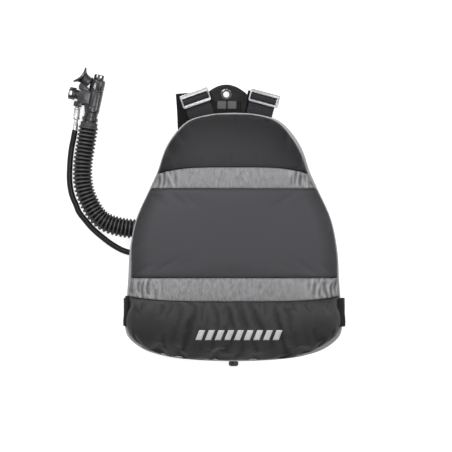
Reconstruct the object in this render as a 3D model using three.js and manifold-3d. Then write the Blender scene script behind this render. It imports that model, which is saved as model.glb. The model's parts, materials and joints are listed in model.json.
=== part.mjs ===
// Buoyancy compensator vest: air cell in a padded cover, webbing harness, dump valve,
// corrugated hose with a power inflator, and the low-pressure hose that feeds it.
// Millimetres. The vest lies on its harness side: +Z out of its back, +Y to the head end.
import * as THREE from "three";
import { mergeVertices } from "three/addons/utils/BufferGeometryUtils.js";
import Module from "manifold-3d";

const wasm = await Module();
wasm.setup();

// ---- Driving dimensions -------------------------------------------------------------
const GAP = 0.35; // between neighbouring pieces
const WEB = 50; // webbing width
const WEB_T = 2.5; // webbing thickness
const HALF_T = WEB_T / 2;

// Half of the cover's outline, from the head end round to the foot end: [half width, Y].
const OUTLINE = [
  [0, 380], [40, 377.5], [84, 366], [107, 347], [130, 313], [146, 267], [160, 236],
  [187, 175], [199, 113], [202, 60], [206, 6], [208, -26], [203, -47], [175, -71],
  [130, -86], [75, -93], [0, -96],
];
const HEAD_Y = 380;
const FOOT_Y = -96;
const CENTRE_Y = (HEAD_Y + FOOT_Y) / 2;
const HALF_LENGTH = (HEAD_Y - FOOT_Y) / 2;
const COVER_X = 3; // the cover's middle, to the right of the harness's
const RIM_Z = 58; // height of the cover's widest line over its centre
const EDGE_DROP = 5; // how far that line droops at the rim
const END_DROP = 1; // and at the head and foot ends
const TOP_RISE = 47; // crown above the widest line
const BOTTOM_DEPTH = 17; // underside below the widest line
const SKIN = 2.2;
const LINING = 1.5;
const SEAM = 0.968; // share of the outline where the back panels end
const BAND_SEAM = 0.952;
const BAND_SINK = 2.5;
const PANEL_SEAMS = [ // [Y at the middle, rise towards the sides]
  [275, -12], [234.6, 0], [64, 0], [19.4, 10],
];
const LUMBAR = { x: 110, low: -26, high: 84, z: 7.3, thick: 3, slotY: 74, slotH: 6 };
const BELT_Z = 12.3;
const SCREW_X = [-35, 35]; // screws that clamp the belt on the lumbar plate
const STRAP_SLOTS = { left: -70, spine: -8, right: 56 };
const BUCKLE = { pinX: -120, pinZ: 8, cheekIn: 28.6, cheekOut: 33, tail: 168 };
const SLOT_HALF = 28; // half the length of a strap slot
const PLATE_X = -11; // the shoulder plate's middle
const SLIDES = [
  { side: "left", x: -70, y: 408, turn: 19.4 },
  { side: "right", x: 60.5, y: 408, turn: -15.2 },
];
const SLIDE = { w: 56, h: 24.5, windowW: 50.4, windowH: 13.4, z: 23, thick: 3.5 };
const VALVE = { x: 3, y: -53, seatZ: 27, capZ: 9.5, r: 19.5 };
const ELBOW = { x: -100, y: 155, z: 19.4, faceX: -132, r: 14, bore: 11, flangeZ: 37 };
const HOSE_D = 38;
const LP_D = 11.2;
const INFLATOR = { x: -274, y: 364, z: 19.2, turn: -12.2 };
const COUPLER = { x: -302, y: 347.5, z: 12, turn: -5.2 };

const group = new THREE.Group();

// ---- Materials ----------------------------------------------------------------------
const finish = (color, roughness, metalness = 0) => ({ color, roughness, metalness });
const CHARCOAL = finish(0x3f3e43, 0.8);
const GRAPHITE = finish(0x504f54, 0.75);
const MESH_GREY = finish(0x96969a, 0.9);
const BLACK_FABRIC = finish(0x2a292b, 0.85);
const LINING_GREY = finish(0xb4b3b2, 0.8);
const BLADDER = finish(0x8f9094, 0.6);
const BLACK_WEB = finish(0x161616, 0.8);
const GREY_WEB = finish(0x353539, 0.8);
const FOAM = finish(0x1c1c1d, 0.95);
const PLATE_BLACK = finish(0x1d1d1e, 0.6);
const STEEL = finish(0xc9cacc, 0.25, 1);
const PLASTIC = finish(0x151516, 0.45);
const RUBBER = finish(0x1b1b1c, 0.7);

// ---- Helpers ------------------------------------------------------------------------
function add(name, geometry, look, parent = group) {
  const mesh = new THREE.Mesh(geometry, new THREE.MeshStandardMaterial(look));
  mesh.name = name;
  parent.add(mesh);
  return mesh;
}

function toSolid(geometry) {
  const bare = new THREE.BufferGeometry();
  bare.setAttribute("position", geometry.getAttribute("position").clone());
  if (geometry.index) bare.setIndex(geometry.index.clone());
  const merged = mergeVertices(bare, 1e-3);
  const triVerts = new Uint32Array(merged.index.array);
  const vertProperties = merged.attributes.position.array;
  return new wasm.Manifold(new wasm.Mesh({ numProp: 3, vertProperties, triVerts }));
}

function fromSolid(solid) {
  const mesh = solid.getMesh();
  const geometry = new THREE.BufferGeometry();
  const position = new THREE.BufferAttribute(new Float32Array(mesh.vertProperties), 3);
  geometry.setAttribute("position", position);
  geometry.setIndex(new THREE.BufferAttribute(new Uint32Array(mesh.triVerts), 1));
  return geometry;
}

function cut(geometry, ...cutters) {
  const start = toSolid(geometry);
  return fromSolid(cutters.reduce((left, cutter) => left.subtract(toSolid(cutter)), start));
}

function join(...geometries) {
  const solids = geometries.map(toSolid);
  return fromSolid(solids.reduce((all, solid) => all.add(solid)));
}

// A rod or disc along an axis, from one coordinate to another.
function rod(radius, from, to, axis = "z", sides = 16) {
  const geometry = new THREE.CylinderGeometry(radius, radius, Math.abs(to - from), sides);
  if (axis === "z") geometry.rotateX(Math.PI / 2);
  if (axis === "x") geometry.rotateZ(Math.PI / 2);
  const middle = (from + to) / 2;
  return geometry.translate(...["x", "y", "z"].map((name) => (name === axis ? middle : 0)));
}

// A turned piece about Z; the profile is [radius, z], counter-clockwise and closed.
function turned(profile, sides = 18, axis = "z") {
  const points = profile.map(([radius, along]) => new THREE.Vector2(radius, along));
  const geometry = new THREE.LatheGeometry(points, sides);
  if (axis === "z") geometry.rotateX(Math.PI / 2);
  if (axis === "x") geometry.rotateZ(-Math.PI / 2);
  return geometry;
}

const ring = (inner, outer, low, high) => [
  [inner, low], [outer, low], [outer, high], [inner, high], [inner, low],
];

function block(x0, x1, y0, y1, z0, z1) {
  const geometry = new THREE.BoxGeometry(x1 - x0, y1 - y0, z1 - z0);
  return geometry.translate((x0 + x1) / 2, (y0 + y1) / 2, (z0 + z1) / 2);
}

function smoothPath(points, steps) {
  const nodes = points.map(([a, b]) => new THREE.Vector3(a, b, 0));
  return new THREE.CatmullRomCurve3(nodes, false, "centripetal").getPoints(steps);
}

// Webbing seen from its side: a middle line (along, z) thickened, then run across.
function ribbon(points, width, thickness = WEB_T, steps = Math.round(points.length * 1.5)) {
  const line = smoothPath(points, steps);
  for (const point of line) point.y = Math.max(point.y, thickness / 2);
  const sides = [1, -1].map((sign) =>
    line.map((point, i) => {
      const before = line[Math.max(i - 1, 0)];
      const after = line[Math.min(i + 1, line.length - 1)];
      const along = after.clone().sub(before).normalize();
      const offset = (sign * thickness) / 2;
      return new THREE.Vector2(point.x - along.y * offset, point.y + along.x * offset);
    }),
  );
  const shape = new THREE.Shape([...sides[1], ...sides[0].reverse()]);
  const geometry = new THREE.ExtrudeGeometry(shape, { depth: width, bevelEnabled: false });
  return geometry.rotateX(Math.PI / 2).translate(0, width / 2, 0);
}

function roundedRect(width, height, radius) {
  const [x, y] = [width / 2, height / 2];
  const shape = new THREE.Shape();
  shape.moveTo(-x + radius, -y);
  shape.lineTo(x - radius, -y);
  shape.absarc(x - radius, -y + radius, radius, -Math.PI / 2, 0);
  shape.lineTo(x, y - radius);
  shape.absarc(x - radius, y - radius, radius, 0, Math.PI / 2);
  shape.lineTo(-x + radius, y);
  shape.absarc(-x + radius, y - radius, radius, Math.PI / 2, Math.PI);
  shape.lineTo(-x, -y + radius);
  shape.absarc(-x + radius, -y + radius, radius, Math.PI, 1.5 * Math.PI);
  return shape;
}

function slab(shape, thickness, curveSegments = 5) {
  return new THREE.ExtrudeGeometry(shape, { depth: thickness, bevelEnabled: false, curveSegments });
}

function tube(points, radius, sides, steps) {
  const curve = new THREE.CatmullRomCurve3(points.map((p) => new THREE.Vector3(...p)));
  const section = new THREE.Shape();
  for (let i = 0; i < sides; i += 1) {
    const angle = (2 * Math.PI * i) / sides;
    const place = [radius * Math.cos(angle), radius * Math.sin(angle)];
    if (i === 0) section.moveTo(...place);
    else section.lineTo(...place);
  }
  return new THREE.ExtrudeGeometry(section, { extrudePath: curve, steps, bevelEnabled: false });
}

function helix(radius, wire, low, high, turns) {
  const points = [];
  const perTurn = 7;
  const count = turns * perTurn;
  for (let i = 0; i <= count; i += 1) {
    const angle = (2 * Math.PI * i) / perTurn;
    const z = low + wire + ((high - low - 2 * wire) * i) / count;
    points.push([radius * Math.cos(angle), radius * Math.sin(angle), z]);
  }
  return tube(points, wire, 4, count);
}

// ---- Cover shape --------------------------------------------------------------------
const outlineCurve = new THREE.CatmullRomCurve3(
  OUTLINE.map(([x, y]) => new THREE.Vector3(x, y, 0)), false, "centripetal",
).getPoints(160);

function halfWidth(y) {
  for (let i = 1; i < outlineCurve.length; i += 1) {
    const [above, below] = [outlineCurve[i - 1], outlineCurve[i]];
    if (y <= above.y && y >= below.y) {
      const share = (above.y - y) / Math.max(above.y - below.y, 1e-9);
      return above.x + (below.x - above.x) * share;
    }
  }
  return 0;
}

// Half width of the outline shrunk to a share k about the cover's centre.
const widthAt = (y, k) => k * halfWidth(CENTRE_Y + (y - CENTRE_Y) / k);

// The share of the outline on which a point lies, 0 at the centre and 1 on the rim.
function shareOf(x, y) {
  let [low, high] = [Math.max(Math.abs(y - CENTRE_Y) / HALF_LENGTH, 0.001), 1.3];
  for (let i = 0; i < 30; i += 1) {
    const middle = (low + high) / 2;
    if (widthAt(y, middle) < Math.abs(x)) low = middle;
    else high = middle;
  }
  return high;
}

function rimZ(y, k) {
  const s = Math.min(Math.abs(y - CENTRE_Y) / HALF_LENGTH, 1);
  return RIM_Z - EDGE_DROP * k ** 4 - END_DROP * s ** 3;
}

function topZ(x, y) {
  const k = Math.min(shareOf(x, y), 1);
  return rimZ(y, k) + TOP_RISE * Math.sqrt(Math.max(1 - k ** 2.6, 0));
}

function underZ(x, y) {
  const k = Math.min(shareOf(x, y), 1);
  return rimZ(y, k) - BOTTOM_DEPTH * Math.sqrt(Math.max(1 - k ** 6, 0));
}

// A closed solid between two surfaces over the same grid of points.
function layered(rows, columns, place, upper, lower) {
  const positions = [];
  for (const surface of [upper, lower]) {
    for (let j = 0; j <= rows; j += 1) {
      for (let i = 0; i <= columns; i += 1) {
        const [x, y] = place(i / columns, j / rows);
        positions.push(x, y, surface(x, y));
      }
    }
  }
  const width = columns + 1;
  const lift = width * (rows + 1);
  const index = [];
  const quad = (a, b, c, d) => index.push(a, b, c, a, c, d);
  for (let j = 0; j < rows; j += 1) {
    for (let i = 0; i < columns; i += 1) {
      const a = j * width + i;
      quad(a, a + 1, a + 1 + width, a + width);
      quad(a + lift, a + width + lift, a + 1 + width + lift, a + 1 + lift);
    }
  }
  for (let i = 0; i < columns; i += 1) {
    const far = rows * width + i;
    quad(i, i + lift, i + 1 + lift, i + 1);
    quad(far, far + 1, far + 1 + lift, far + lift);
  }
  for (let j = 0; j < rows; j += 1) {
    const near = j * width;
    const far = near + columns;
    quad(near, near + width, near + width + lift, near + lift);
    quad(far, far + lift, far + width + lift, far + width);
  }
  const geometry = new THREE.BufferGeometry();
  geometry.setAttribute("position", new THREE.Float32BufferAttribute(positions, 3));
  geometry.setIndex(index);
  return geometry;
}

function backPanel(low, high, seam, sink, rows) {
  const [lowY, lowRise] = low;
  const [highY, highRise] = high;
  const place = (u, v) => {
    const across = Math.sin((u - 0.5) * Math.PI * 0.94) / Math.sin(Math.PI * 0.47);
    const from = lowY + lowRise * across ** 4 + GAP / 2;
    const to = highY + highRise * across ** 4 - GAP / 2;
    const y = from + (to - from) * v;
    return [across * widthAt(y, seam), y];
  };
  const upper = (x, y) => topZ(x, y) - sink;
  const lower = (x, y) => topZ(x, y) - sink - SKIN;
  return layered(rows, 12, place, upper, lower);
}

// The head and foot panels close on the outline's end, with rows crowded towards it.
function endPanel(edge, endY, rows) {
  const [edgeY, rise] = edge;
  const away = Math.sign(endY - edgeY);
  const place = (u, v) => {
    const across = Math.sin((u - 0.5) * Math.PI * 0.94) / Math.sin(Math.PI * 0.47);
    const reach = Math.sin((v * Math.PI) / 2);
    const from = edgeY + rise * across ** 4 + (away * GAP) / 2;
    const y = from + (endY - from) * reach;
    return [across * widthAt(y, SEAM), y];
  };
  const flip = away > 0 ? place : (u, v) => place(u, 1 - v);
  return layered(rows, 12, flip, topZ, (x, y) => topZ(x, y) - SKIN);
}

const cover = new THREE.Group();
cover.position.x = COVER_X;
group.add(cover);

function addBackPanels() {
  const [domeSeam, bandSeam, lowerSeam, pouchSeam] = PANEL_SEAMS;
  const headEnd = CENTRE_Y + SEAM * HALF_LENGTH - 0.6;
  const footEnd = CENTRE_Y - SEAM * HALF_LENGTH + 0.6;
  const upperBand = backPanel(bandSeam, domeSeam, BAND_SEAM, BAND_SINK, 2);
  const lowerBand = backPanel(pouchSeam, lowerSeam, BAND_SEAM, BAND_SINK, 2);
  add("upper_panel", endPanel(domeSeam, headEnd, 6), CHARCOAL, cover);
  add("upper_mesh_band", upperBand, MESH_GREY, cover);
  add("middle_panel", backPanel(lowerSeam, bandSeam, SEAM, 0, 6), GRAPHITE, cover);
  add("lower_mesh_band", lowerBand, MESH_GREY, cover);
  add("lower_pouch_panel", endPanel(pouchSeam, footEnd, 6), BLACK_FABRIC, cover);
}

// Points round the outline, evenly turned about the cover's centre.
function rimPoint(turn, k) {
  const angle = turn * 2 * Math.PI;
  const [dx, dy] = [Math.cos(angle), Math.sin(angle)];
  let [low, high] = [1, 300];
  for (let i = 0; i < 30; i += 1) {
    const middle = (low + high) / 2;
    const inside = Math.abs(dx * middle) < halfWidth(CENTRE_Y + dy * middle);
    if (inside) low = middle;
    else high = middle;
  }
  return [dx * low * k, CENTRE_Y + dy * low * k];
}

// A solid swept round the outline from a list of [share, z over the widest line] pairs,
// closed over the middle at its first and last pair.
function roundShell(section, turns) {
  const positions = [];
  for (const [k, rise] of section) {
    for (let i = 0; i < turns; i += 1) {
      const [x, y] = rimPoint(i / turns, k);
      positions.push(x, y, rimZ(y, k) + rise);
    }
  }
  const first = positions.length / 3;
  positions.push(0, CENTRE_Y, RIM_Z + section[0][1]);
  positions.push(0, CENTRE_Y, RIM_Z + section[section.length - 1][1]);
  const index = [];
  const last = (section.length - 1) * turns;
  for (let i = 0; i < turns; i += 1) {
    const next = (i + 1) % turns;
    index.push(first, next, i, first + 1, last + i, last + next);
    for (let j = 0; j < section.length - 1; j += 1) {
      const a = j * turns;
      const b = a + turns;
      index.push(a + i, a + next, b + next, a + i, b + next, b + i);
    }
  }
  const geometry = new THREE.BufferGeometry();
  geometry.setAttribute("position", new THREE.Float32BufferAttribute(positions, 3));
  geometry.setIndex(index);
  return geometry;
}

const bottomRise = (k) => -BOTTOM_DEPTH * Math.sqrt(Math.max(1 - k ** 6, 0));
const topRise = (k) => TOP_RISE * Math.sqrt(Math.max(1 - k ** 2.6, 0));

function addFrontCover() {
  const outer = [0.45, 0.78, 0.92, 0.985].map((k) => [k, bottomRise(k)]);
  const rim = [[1, 0], [0.979, topRise(0.979)], [0.975, topRise(0.979) - 1.4]];
  const inner = [[0.99, 0], [0.972, bottomRise(0.985) + 1.9]];
  const roof = [0.92, 0.78, 0.45].map((k) => [k * 0.995, bottomRise(k) + LINING]);
  const shell = roundShell([...outer, ...rim, ...inner, ...roof], 32);
  const holes = [
    rod(ELBOW.r + 1, 30, 50).translate(ELBOW.x - COVER_X, ELBOW.y, 0),
    rod(13, 20, 50).translate(VALVE.x - COVER_X, VALVE.y, 0),
  ];
  add("front_cover", cut(shell, ...holes), LINING_GREY, cover);
}

function addAirCell() {
  const lower = [0.5, 0.8, 0.9].map((k) => [k, bottomRise(k) + 8]);
  const upper = [0.9, 0.75, 0.5, 0.25].map((k) => [k, topRise(k) - 8]);
  const shell = roundShell([...lower, [0.93, 6], ...upper], 28);
  add("air_cell", shell, BLADDER, cover);
}

// Everything under the cover, as a cutter for the fittings that seat against it.
function underCover() {
  const lower = [0.45, 0.78, 0.92, 0.985].map((k) => [k, bottomRise(k) - GAP]);
  return roundShell([...lower, [0.985, 12], [0.6, 12]], 32).translate(COVER_X, 0, 0);
}

// ---- Harness ------------------------------------------------------------------------
// A strap along Y: its profile is [y, z]; x is its middle at the slot, turn in degrees.
function strapAlongY(name, profile, x, y, turn, look, width = WEB) {
  const geometry = ribbon(profile.map(([along, z]) => [along - y, z]), width);
  const mesh = add(name, geometry, look);
  mesh.rotation.z = THREE.MathUtils.degToRad(90 + turn);
  mesh.position.set(x, y, 0);
}

function addShoulderPlate() {
  const shape = new THREE.Shape();
  shape.moveTo(-32, -66);
  shape.lineTo(32, -66);
  shape.lineTo(36, -46);
  shape.lineTo(41.5, -14);
  shape.quadraticCurveTo(43, -4, 34, 1);
  shape.quadraticCurveTo(0, 28, -34, 1);
  shape.quadraticCurveTo(-43, -4, -41.5, -14);
  shape.lineTo(-36, -46);
  const hole = new THREE.Path().absarc(0, -4.5, 8.3, 0, 2 * Math.PI);
  shape.holes.push(hole);
  const plate = add("shoulder_plate", slab(shape, 3), PLATE_BLACK);
  plate.position.set(PLATE_X, 421, 9.3);
  const padShape = roundedRect(62, 84, 14);
  const pad = add("shoulder_pad", slab(padShape, 5.9), FOAM);
  pad.position.set(PLATE_X + 1, 356, 3);
  const eyelet = [[5.9, 0], [7.9, 0], [7.9, 3.4], [11.5, 3.4], [11.5, 4.4], [6.7, 4.6], [5.9, 4], [5.9, 0]];
  const mesh = add("shoulder_eyelet", turned(eyelet), STEEL);
  mesh.position.set(PLATE_X, 416.5, 9.3);
}

function addBackStraps() {
  const profile = [
    [-96, 19], [-60, 19], [-30, 19.4], [-12, 20.2], [-6.7, 21.1], [-2, 23], [0, 23.4],
    [2, 23], [5.5, 20.6], [9, 18.6], [10.5, 16.6], [8.5, 14.9], [4, 14.5], [-22, 14.5],
  ];
  for (const { side, x, y, turn } of SLIDES) {
    strapAlongY(`back_strap_${side}`, profile.map(([a, z]) => [a + y, z]), x, y, turn, GREY_WEB);
  }
}

function slideShape() {
  const shape = roundedRect(SLIDE.w, SLIDE.h, 3.5);
  const half = SLIDE.windowW / 2;
  for (const [low, high] of [[-SLIDE.windowH / 2, -1.6], [1.6, SLIDE.windowH / 2]]) {
    const window = new THREE.Path();
    window.moveTo(-half, low);
    window.lineTo(-half, high);
    window.lineTo(half, high);
    window.lineTo(half, low);
    shape.holes.push(window);
  }
  return shape;
}

// The slide's middle bar is set lower than its frame, so the webbing lies level over it.
function addSlides() {
  const frame = cut(
    slab(slideShape(), SLIDE.thick + 4),
    block(-SLIDE.windowW / 2, SLIDE.windowW / 2, -3, 3, 2.2, 9),
    block(-40, 40, -14, -SLIDE.windowH / 2, -1, 4),
    block(-40, 40, SLIDE.windowH / 2, 14, -1, 4),
  );
  for (const { side, x, y, turn } of SLIDES) {
    const mesh = add(`shoulder_slide_${side}`, frame.clone(), STEEL);
    mesh.rotation.z = THREE.MathUtils.degToRad(turn);
    mesh.position.set(x, y, SLIDE.z - 4);
  }
}

function slotLoop(tailY) {
  const { slotY } = LUMBAR;
  return [
    [tailY, 13.1], [slotY + 10, 12.4], [slotY + 4, 12.2], [slotY + 1.1, 11.3], [slotY, 8.8],
    [slotY + 1.1, 6.3], [slotY + 4, 5.3], [slotY + 12, 5.1],
  ];
}

function addFrontStraps() {
  const floor = HALF_T;
  const body = [[93, 4], [110, floor], [200, floor], [350, floor + 0.5]];
  const rise = [[378, 4], [400, 8.6], [413, 10.4], [418, 10.2], [419.5, 8], [417, 6], [400, 4.2]];
  const turns = { left: 2, right: -0.8 };
  for (const side of ["left", "right"]) {
    const profile = [...slotLoop(101), ...body, ...rise];
    strapAlongY(`front_strap_${side}`, profile, STRAP_SLOTS[side], LUMBAR.slotY, turns[side], BLACK_WEB);
  }
}

function addSpineStrap() {
  const { slotY } = LUMBAR;
  const profile = [
    [104, 5.1], [slotY + 12, 5.1], [slotY + 4, 5.3], [slotY + 1.1, 6.3], [slotY, 8.8],
    [slotY + 1.1, 11.3], [slotY + 4, 12.2], [slotY + 14, 13], [120, 17], [150, 18], [260, 18],
    [310, 14.2], [330, 13.9], [404, 13.9],
  ];
  strapAlongY("spine_strap", profile, STRAP_SLOTS.spine, slotY, 0, BLACK_WEB);
}

function addLumbar() {
  const middleY = (LUMBAR.low + LUMBAR.high) / 2;
  const blank = slab(roundedRect(2 * LUMBAR.x, LUMBAR.high - LUMBAR.low, 14), LUMBAR.thick);
  const slotLow = LUMBAR.slotY - LUMBAR.slotH / 2 - middleY;
  const slots = Object.values(STRAP_SLOTS).map((x) =>
    block(x - SLOT_HALF, x + SLOT_HALF, slotLow, slotLow + LUMBAR.slotH, -1, 9),
  );
  const holes = SCREW_X.map((x) => rod(4.4, -1, 9).translate(x, -middleY, 0));
  const plate = add("lumbar_plate", cut(blank, ...slots, ...holes), PLATE_BLACK);
  plate.position.set(0, middleY, LUMBAR.z);
  const recesses = SCREW_X.map((x) => rod(8, 3.5, 9, "z", 16).translate(x, 0, 0));
  const pad = slab(roundedRect(120, 84, 12), 7).translate(0, 18, 0);
  add("lumbar_pad", cut(pad, ...recesses), FOAM);
}

function addPlateScrews() {
  const profile = [
    [0, 4.6], [7, 4.6], [7, 6.9], [4, 6.9], [4, 13.6], [7, 13.6], [7, 15], [5.5, 15.8], [0, 15.8],
  ];
  SCREW_X.forEach((x, i) => {
    const mesh = add(`plate_screw_${["left", "right"][i]}`, turned(profile, 14), STEEL);
    mesh.position.set(x, 0, 0);
  });
}

// Half of the waist belt from the plate's middle out to its fold and back on the floor.
function beltHalf(foldX, endX) {
  return [
    [0, BELT_Z], [35, BELT_Z], [64, BELT_Z], [78, 15.5], [91, 27], [106, 32], [130, 32.5], [164, 31], [187, 31],
    [foldX - 9, 30.6], [foldX - 3, 27.5], [foldX - 1.3, 20], [foldX - 2, 9], [foldX - 7, 2.8],
    [foldX - 15, HALF_T], [endX, HALF_T],
  ];
}

function addWaistBelt() {
  const left = beltHalf(208.5, BUCKLE.tail).map(([x, z]) => [-x, z]);
  const right = beltHalf(217, 105);
  const profile = [...left.reverse(), ...right.slice(1)];
  const belt = ribbon(profile, WEB, WEB_T, 46);
  const holes = SCREW_X.map((x) => rod(4.4, 5, 20, "z", 16).translate(x, 0, 0));
  add("waist_belt", cut(belt, ...holes), BLACK_WEB);
}

function addBeltLoops() {
  for (const [side, sign] of [["left", -1], ["right", 1]]) {
    const outer = block(-8, 8, -29, 29, 26.6, 35.2);
    const loop = cut(outer, block(-9, 9, -26.8, 26.8, 28.8, 33));
    add(`belt_loop_${side}`, loop, BLACK_WEB).position.set(sign * 177, 0, 0);
  }
}

// Cam buckle on the belt's left end: base with cheeks, cross pin and toothed lever.
function addBuckle() {
  const { pinX, pinZ, cheekIn, cheekOut } = BUCKLE;
  const base = join(
    block(pinX - 47.4, pinX + 7, -cheekOut, cheekOut, 0, 2.4),
    block(pinX - 25, pinX + 7, -cheekOut, -cheekIn, 1, 12.5),
    block(pinX - 25, pinX + 7, cheekIn, cheekOut, 1, 12.5),
  );
  const pinPath = (radius) => rod(radius, -40, 40, "y").translate(pinX, 0, pinZ);
  const window = block(pinX - 60, pinX - 18, -26, 26, -1, 5);
  add("waist_buckle_frame", cut(base, window, pinPath(2.5)), STEEL);
  const pin = rod(2.4, -cheekOut, cheekOut, "y").translate(pinX, 0, pinZ);
  add("waist_buckle_pin", pin, STEEL);
  const lever = new THREE.Shape();
  lever.moveTo(-39, 6.6);
  lever.lineTo(-9, 6);
  lever.lineTo(-4, 3.4);
  lever.absarc(0, pinZ, 5.2, -2.2, Math.PI / 2);
  lever.lineTo(-15, 12.2);
  lever.lineTo(-39, 9.4);
  const plate = new THREE.ExtrudeGeometry(lever, { depth: 56, bevelEnabled: false, curveSegments: 8 });
  plate.rotateX(Math.PI / 2).translate(pinX, 28, 0);
  add("waist_buckle_lever", cut(plate, pinPath(2.75)), STEEL);
}

// D-rings lie on the front straps, each held by a saddle plate with a hump over its bar.
const RING = { axisY: 0.85, axisZ: 7, outer: 26, inner: 20.5, barHalf: 1.75, thick: 5 };

function ringShape() {
  const shape = new THREE.Shape();
  shape.moveTo(-RING.outer, RING.axisY - RING.barHalf);
  shape.lineTo(RING.outer, RING.axisY - RING.barHalf);
  shape.lineTo(RING.outer, 10);
  shape.absarc(0, 10, RING.outer, 0, Math.PI);
  const eye = new THREE.Path();
  eye.moveTo(RING.inner, RING.axisY + RING.barHalf);
  eye.lineTo(-RING.inner, RING.axisY + RING.barHalf);
  eye.lineTo(-RING.inner, 10);
  eye.absarc(0, 10, RING.inner, Math.PI, 0, true);
  shape.holes.push(eye);
  return shape;
}

function addShoulderRings() {
  const half = RING.thick / 2;
  const barLow = RING.axisZ - 1.4;
  const barHigh = RING.axisZ + 1.4;
  const barEnd = RING.axisY + RING.barHalf;
  const body = cut(
    slab(ringShape(), RING.thick, 8).translate(0, 0, RING.axisZ - half),
    block(-40, 40, -9, barEnd, barHigh, 20),
    block(-40, 40, -9, barEnd, 0, barLow),
  );
  const keeper = cut(
    join(block(-28.5, 28.5, -9, 10.5, 0, 4.3), block(-18, 18, -4, 5.7, 3, 10.9)),
    block(-26.3, 26.3, -10, 12, -1, 3.1),
    block(-40, 40, RING.axisY - 2.6, RING.axisY + 2.6, RING.axisZ - 2.6, RING.axisZ + 2.6),
  );
  for (const [side, x] of [["left", -76.6], ["right", 58.6]]) {
    add(`d_ring_${side}`, body.clone(), STEEL).position.set(x, 262, 0);
    add(`d_ring_keeper_${side}`, keeper.clone(), STEEL).position.set(x, 262, 0);
  }
}

// ---- Dump valve ---------------------------------------------------------------------
function addDumpValve() {
  const valve = new THREE.Group();
  valve.position.set(VALVE.x, VALVE.y, 0);
  group.add(valve);
  const { seatZ, capZ, r } = VALVE;
  const housing = [
    [12, seatZ], [r - 2.6, seatZ], [r - 2.6, 14], [r, 14], [r, 32], [26, 35], [26, 50], [12, 50],
    [12, seatZ],
  ];
  const cutter = underCover().translate(-VALVE.x, -VALVE.y, 0);
  const nozzle = rod(4.5, -31, -r + 1, "y", 16).translate(0, 0, 20);
  const bore = rod(2.1, -33, -10, "y", 12).translate(0, 0, 20);
  const body = cut(join(turned(housing), nozzle), cutter, bore);
  add("dump_valve_housing", body, PLASTIC, valve);
  const cap = [
    [3, capZ], [20, capZ], [22, capZ + 2], [22, 15], [r + GAP, 15], [r + GAP, 13.6], [10, 12.2],
    [3, 12.2], [3, capZ],
  ];
  add("dump_valve_cap", turned(cap), PLASTIC, valve);
  const poppet = [
    [0, 16.5], [2.2, 16.5], [2.2, 23.6], [13.6, 23.6], [14.8, 24.6], [14.8, 26.6], [0, 26.6],
  ];
  add("dump_poppet", turned(poppet), RUBBER, valve);
  add("dump_spring", helix(7.5, 0.8, 12.6, 23.3, 3), STEEL, valve);
  const cord = rod(1.3, -40.3, -13, "y", 10).translate(0, 0, 20);
  add("dump_pull_cord", cord, BLACK_WEB, valve);
  const knob = [
    [0, -53.4], [6.5, -53.4], [9.3, -51], [9.5, -46], [7, -42.5], [4, -40.6], [0, -40.6],
  ];
  add("dump_pull_knob", turned(knob, 16, "y").translate(0, 0, 20), RUBBER, valve);
}

// ---- Hose, elbow and inflator -------------------------------------------------------
// Where the corrugated hose lies, from the inflator to the elbow under the cover.
const HOSE_ROUTE = [
  [-274.2, 362.6, 19.2], [-277.4, 343.7, 19.2], [-282.2, 313, 19.2], [-286.6, 282.2, 19.2],
  [-286.8, 251.5, 19.2], [-282.4, 228.5, 19.2], [-275.5, 211.2, 19.2], [-267.8, 196.8, 19.2],
  [-259.2, 184.3, 19.2], [-247.7, 173.8, 19.2], [-234.2, 167, 19.2], [-219.8, 162.6, 19.2],
  [-205.4, 159.7, 19.2], [-190, 158, 19.2], [-165, 156.2, 19.2], [-148, 155.2, 19.3],
  [-132.4, 155, 19.4],
];

// Where the low-pressure hose lies, from the quick coupler to its port fitting.
const LP_ROUTE = [
  [-302.2, 347.2, 12], [-305.4, 330, 10], [-309, 313, 7.2], [-312.2, 282.2, 5.9],
  [-312.8, 251.5, 5.8], [-310.5, 232.3, 5.8], [-306.2, 217, 5.8], [-300.9, 205.4, 5.8],
  [-294.7, 190, 5.8], [-282.8, 174.7, 5.8], [-269.8, 159.4, 5.8], [-252.5, 144, 5.8],
  [-232.3, 128.6, 5.8], [-208.3, 115.5, 5.8], [-185, 110, 5.8], [-160, 108.5, 5.8],
  [-130, 110.5, 7.4], [-104, 114, 9], [-70, 118, 9.1], [-44, 124, 8.6], [-24, 139, 7],
  [-14, 168, 7.6], [-12, 200, 8.2],
];

function addHoses() {
  add("corrugated_hose", tube(HOSE_ROUTE, HOSE_D / 2, 10, 18), RUBBER);
  add("lp_hose", tube(LP_ROUTE, LP_D / 2, 8, 26), RUBBER);
  const [endX, endY, endZ] = LP_ROUTE[LP_ROUTE.length - 1];
  const fitting = [
    [0, 0.4], [5.7, 0.4], [5.7, 20], [4.6, 21], [4.6, 23], [8, 24], [8, 33], [4.7, 34], [4.7, 44],
    [0, 44],
  ];
  const mesh = add("lp_end_fitting", turned(fitting, 12, "y"), STEEL);
  mesh.position.set(endX, endY, endZ);
}

function addElbow() {
  const { x, y, z, faceX, r, bore, flangeZ } = ELBOW;
  const outer = join(
    rod(r, faceX - x, 0, "x"),
    new THREE.SphereGeometry(r, 16, 8),
    rod(r, 0, 26),
    rod(26, flangeZ - z, 26),
  );
  const inner = join(
    rod(bore, faceX - x - 2, 0, "x"),
    new THREE.SphereGeometry(bore, 16, 8),
    rod(bore, 0, 40),
  );
  const seat = underCover().translate(-x, -y, -z);
  const flanged = toSolid(outer).subtract(toSolid(seat)).add(toSolid(rod(r, 0, 25.3)));
  const elbow = add("hose_elbow", fromSolid(flanged.subtract(toSolid(inner))), PLASTIC);
  elbow.position.set(x, y, z);
  const lock = add("elbow_lock_ring", turned(ring(r + GAP, 24, 0, 4)), PLASTIC);
  lock.position.set(x, y, 43);
}

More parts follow.
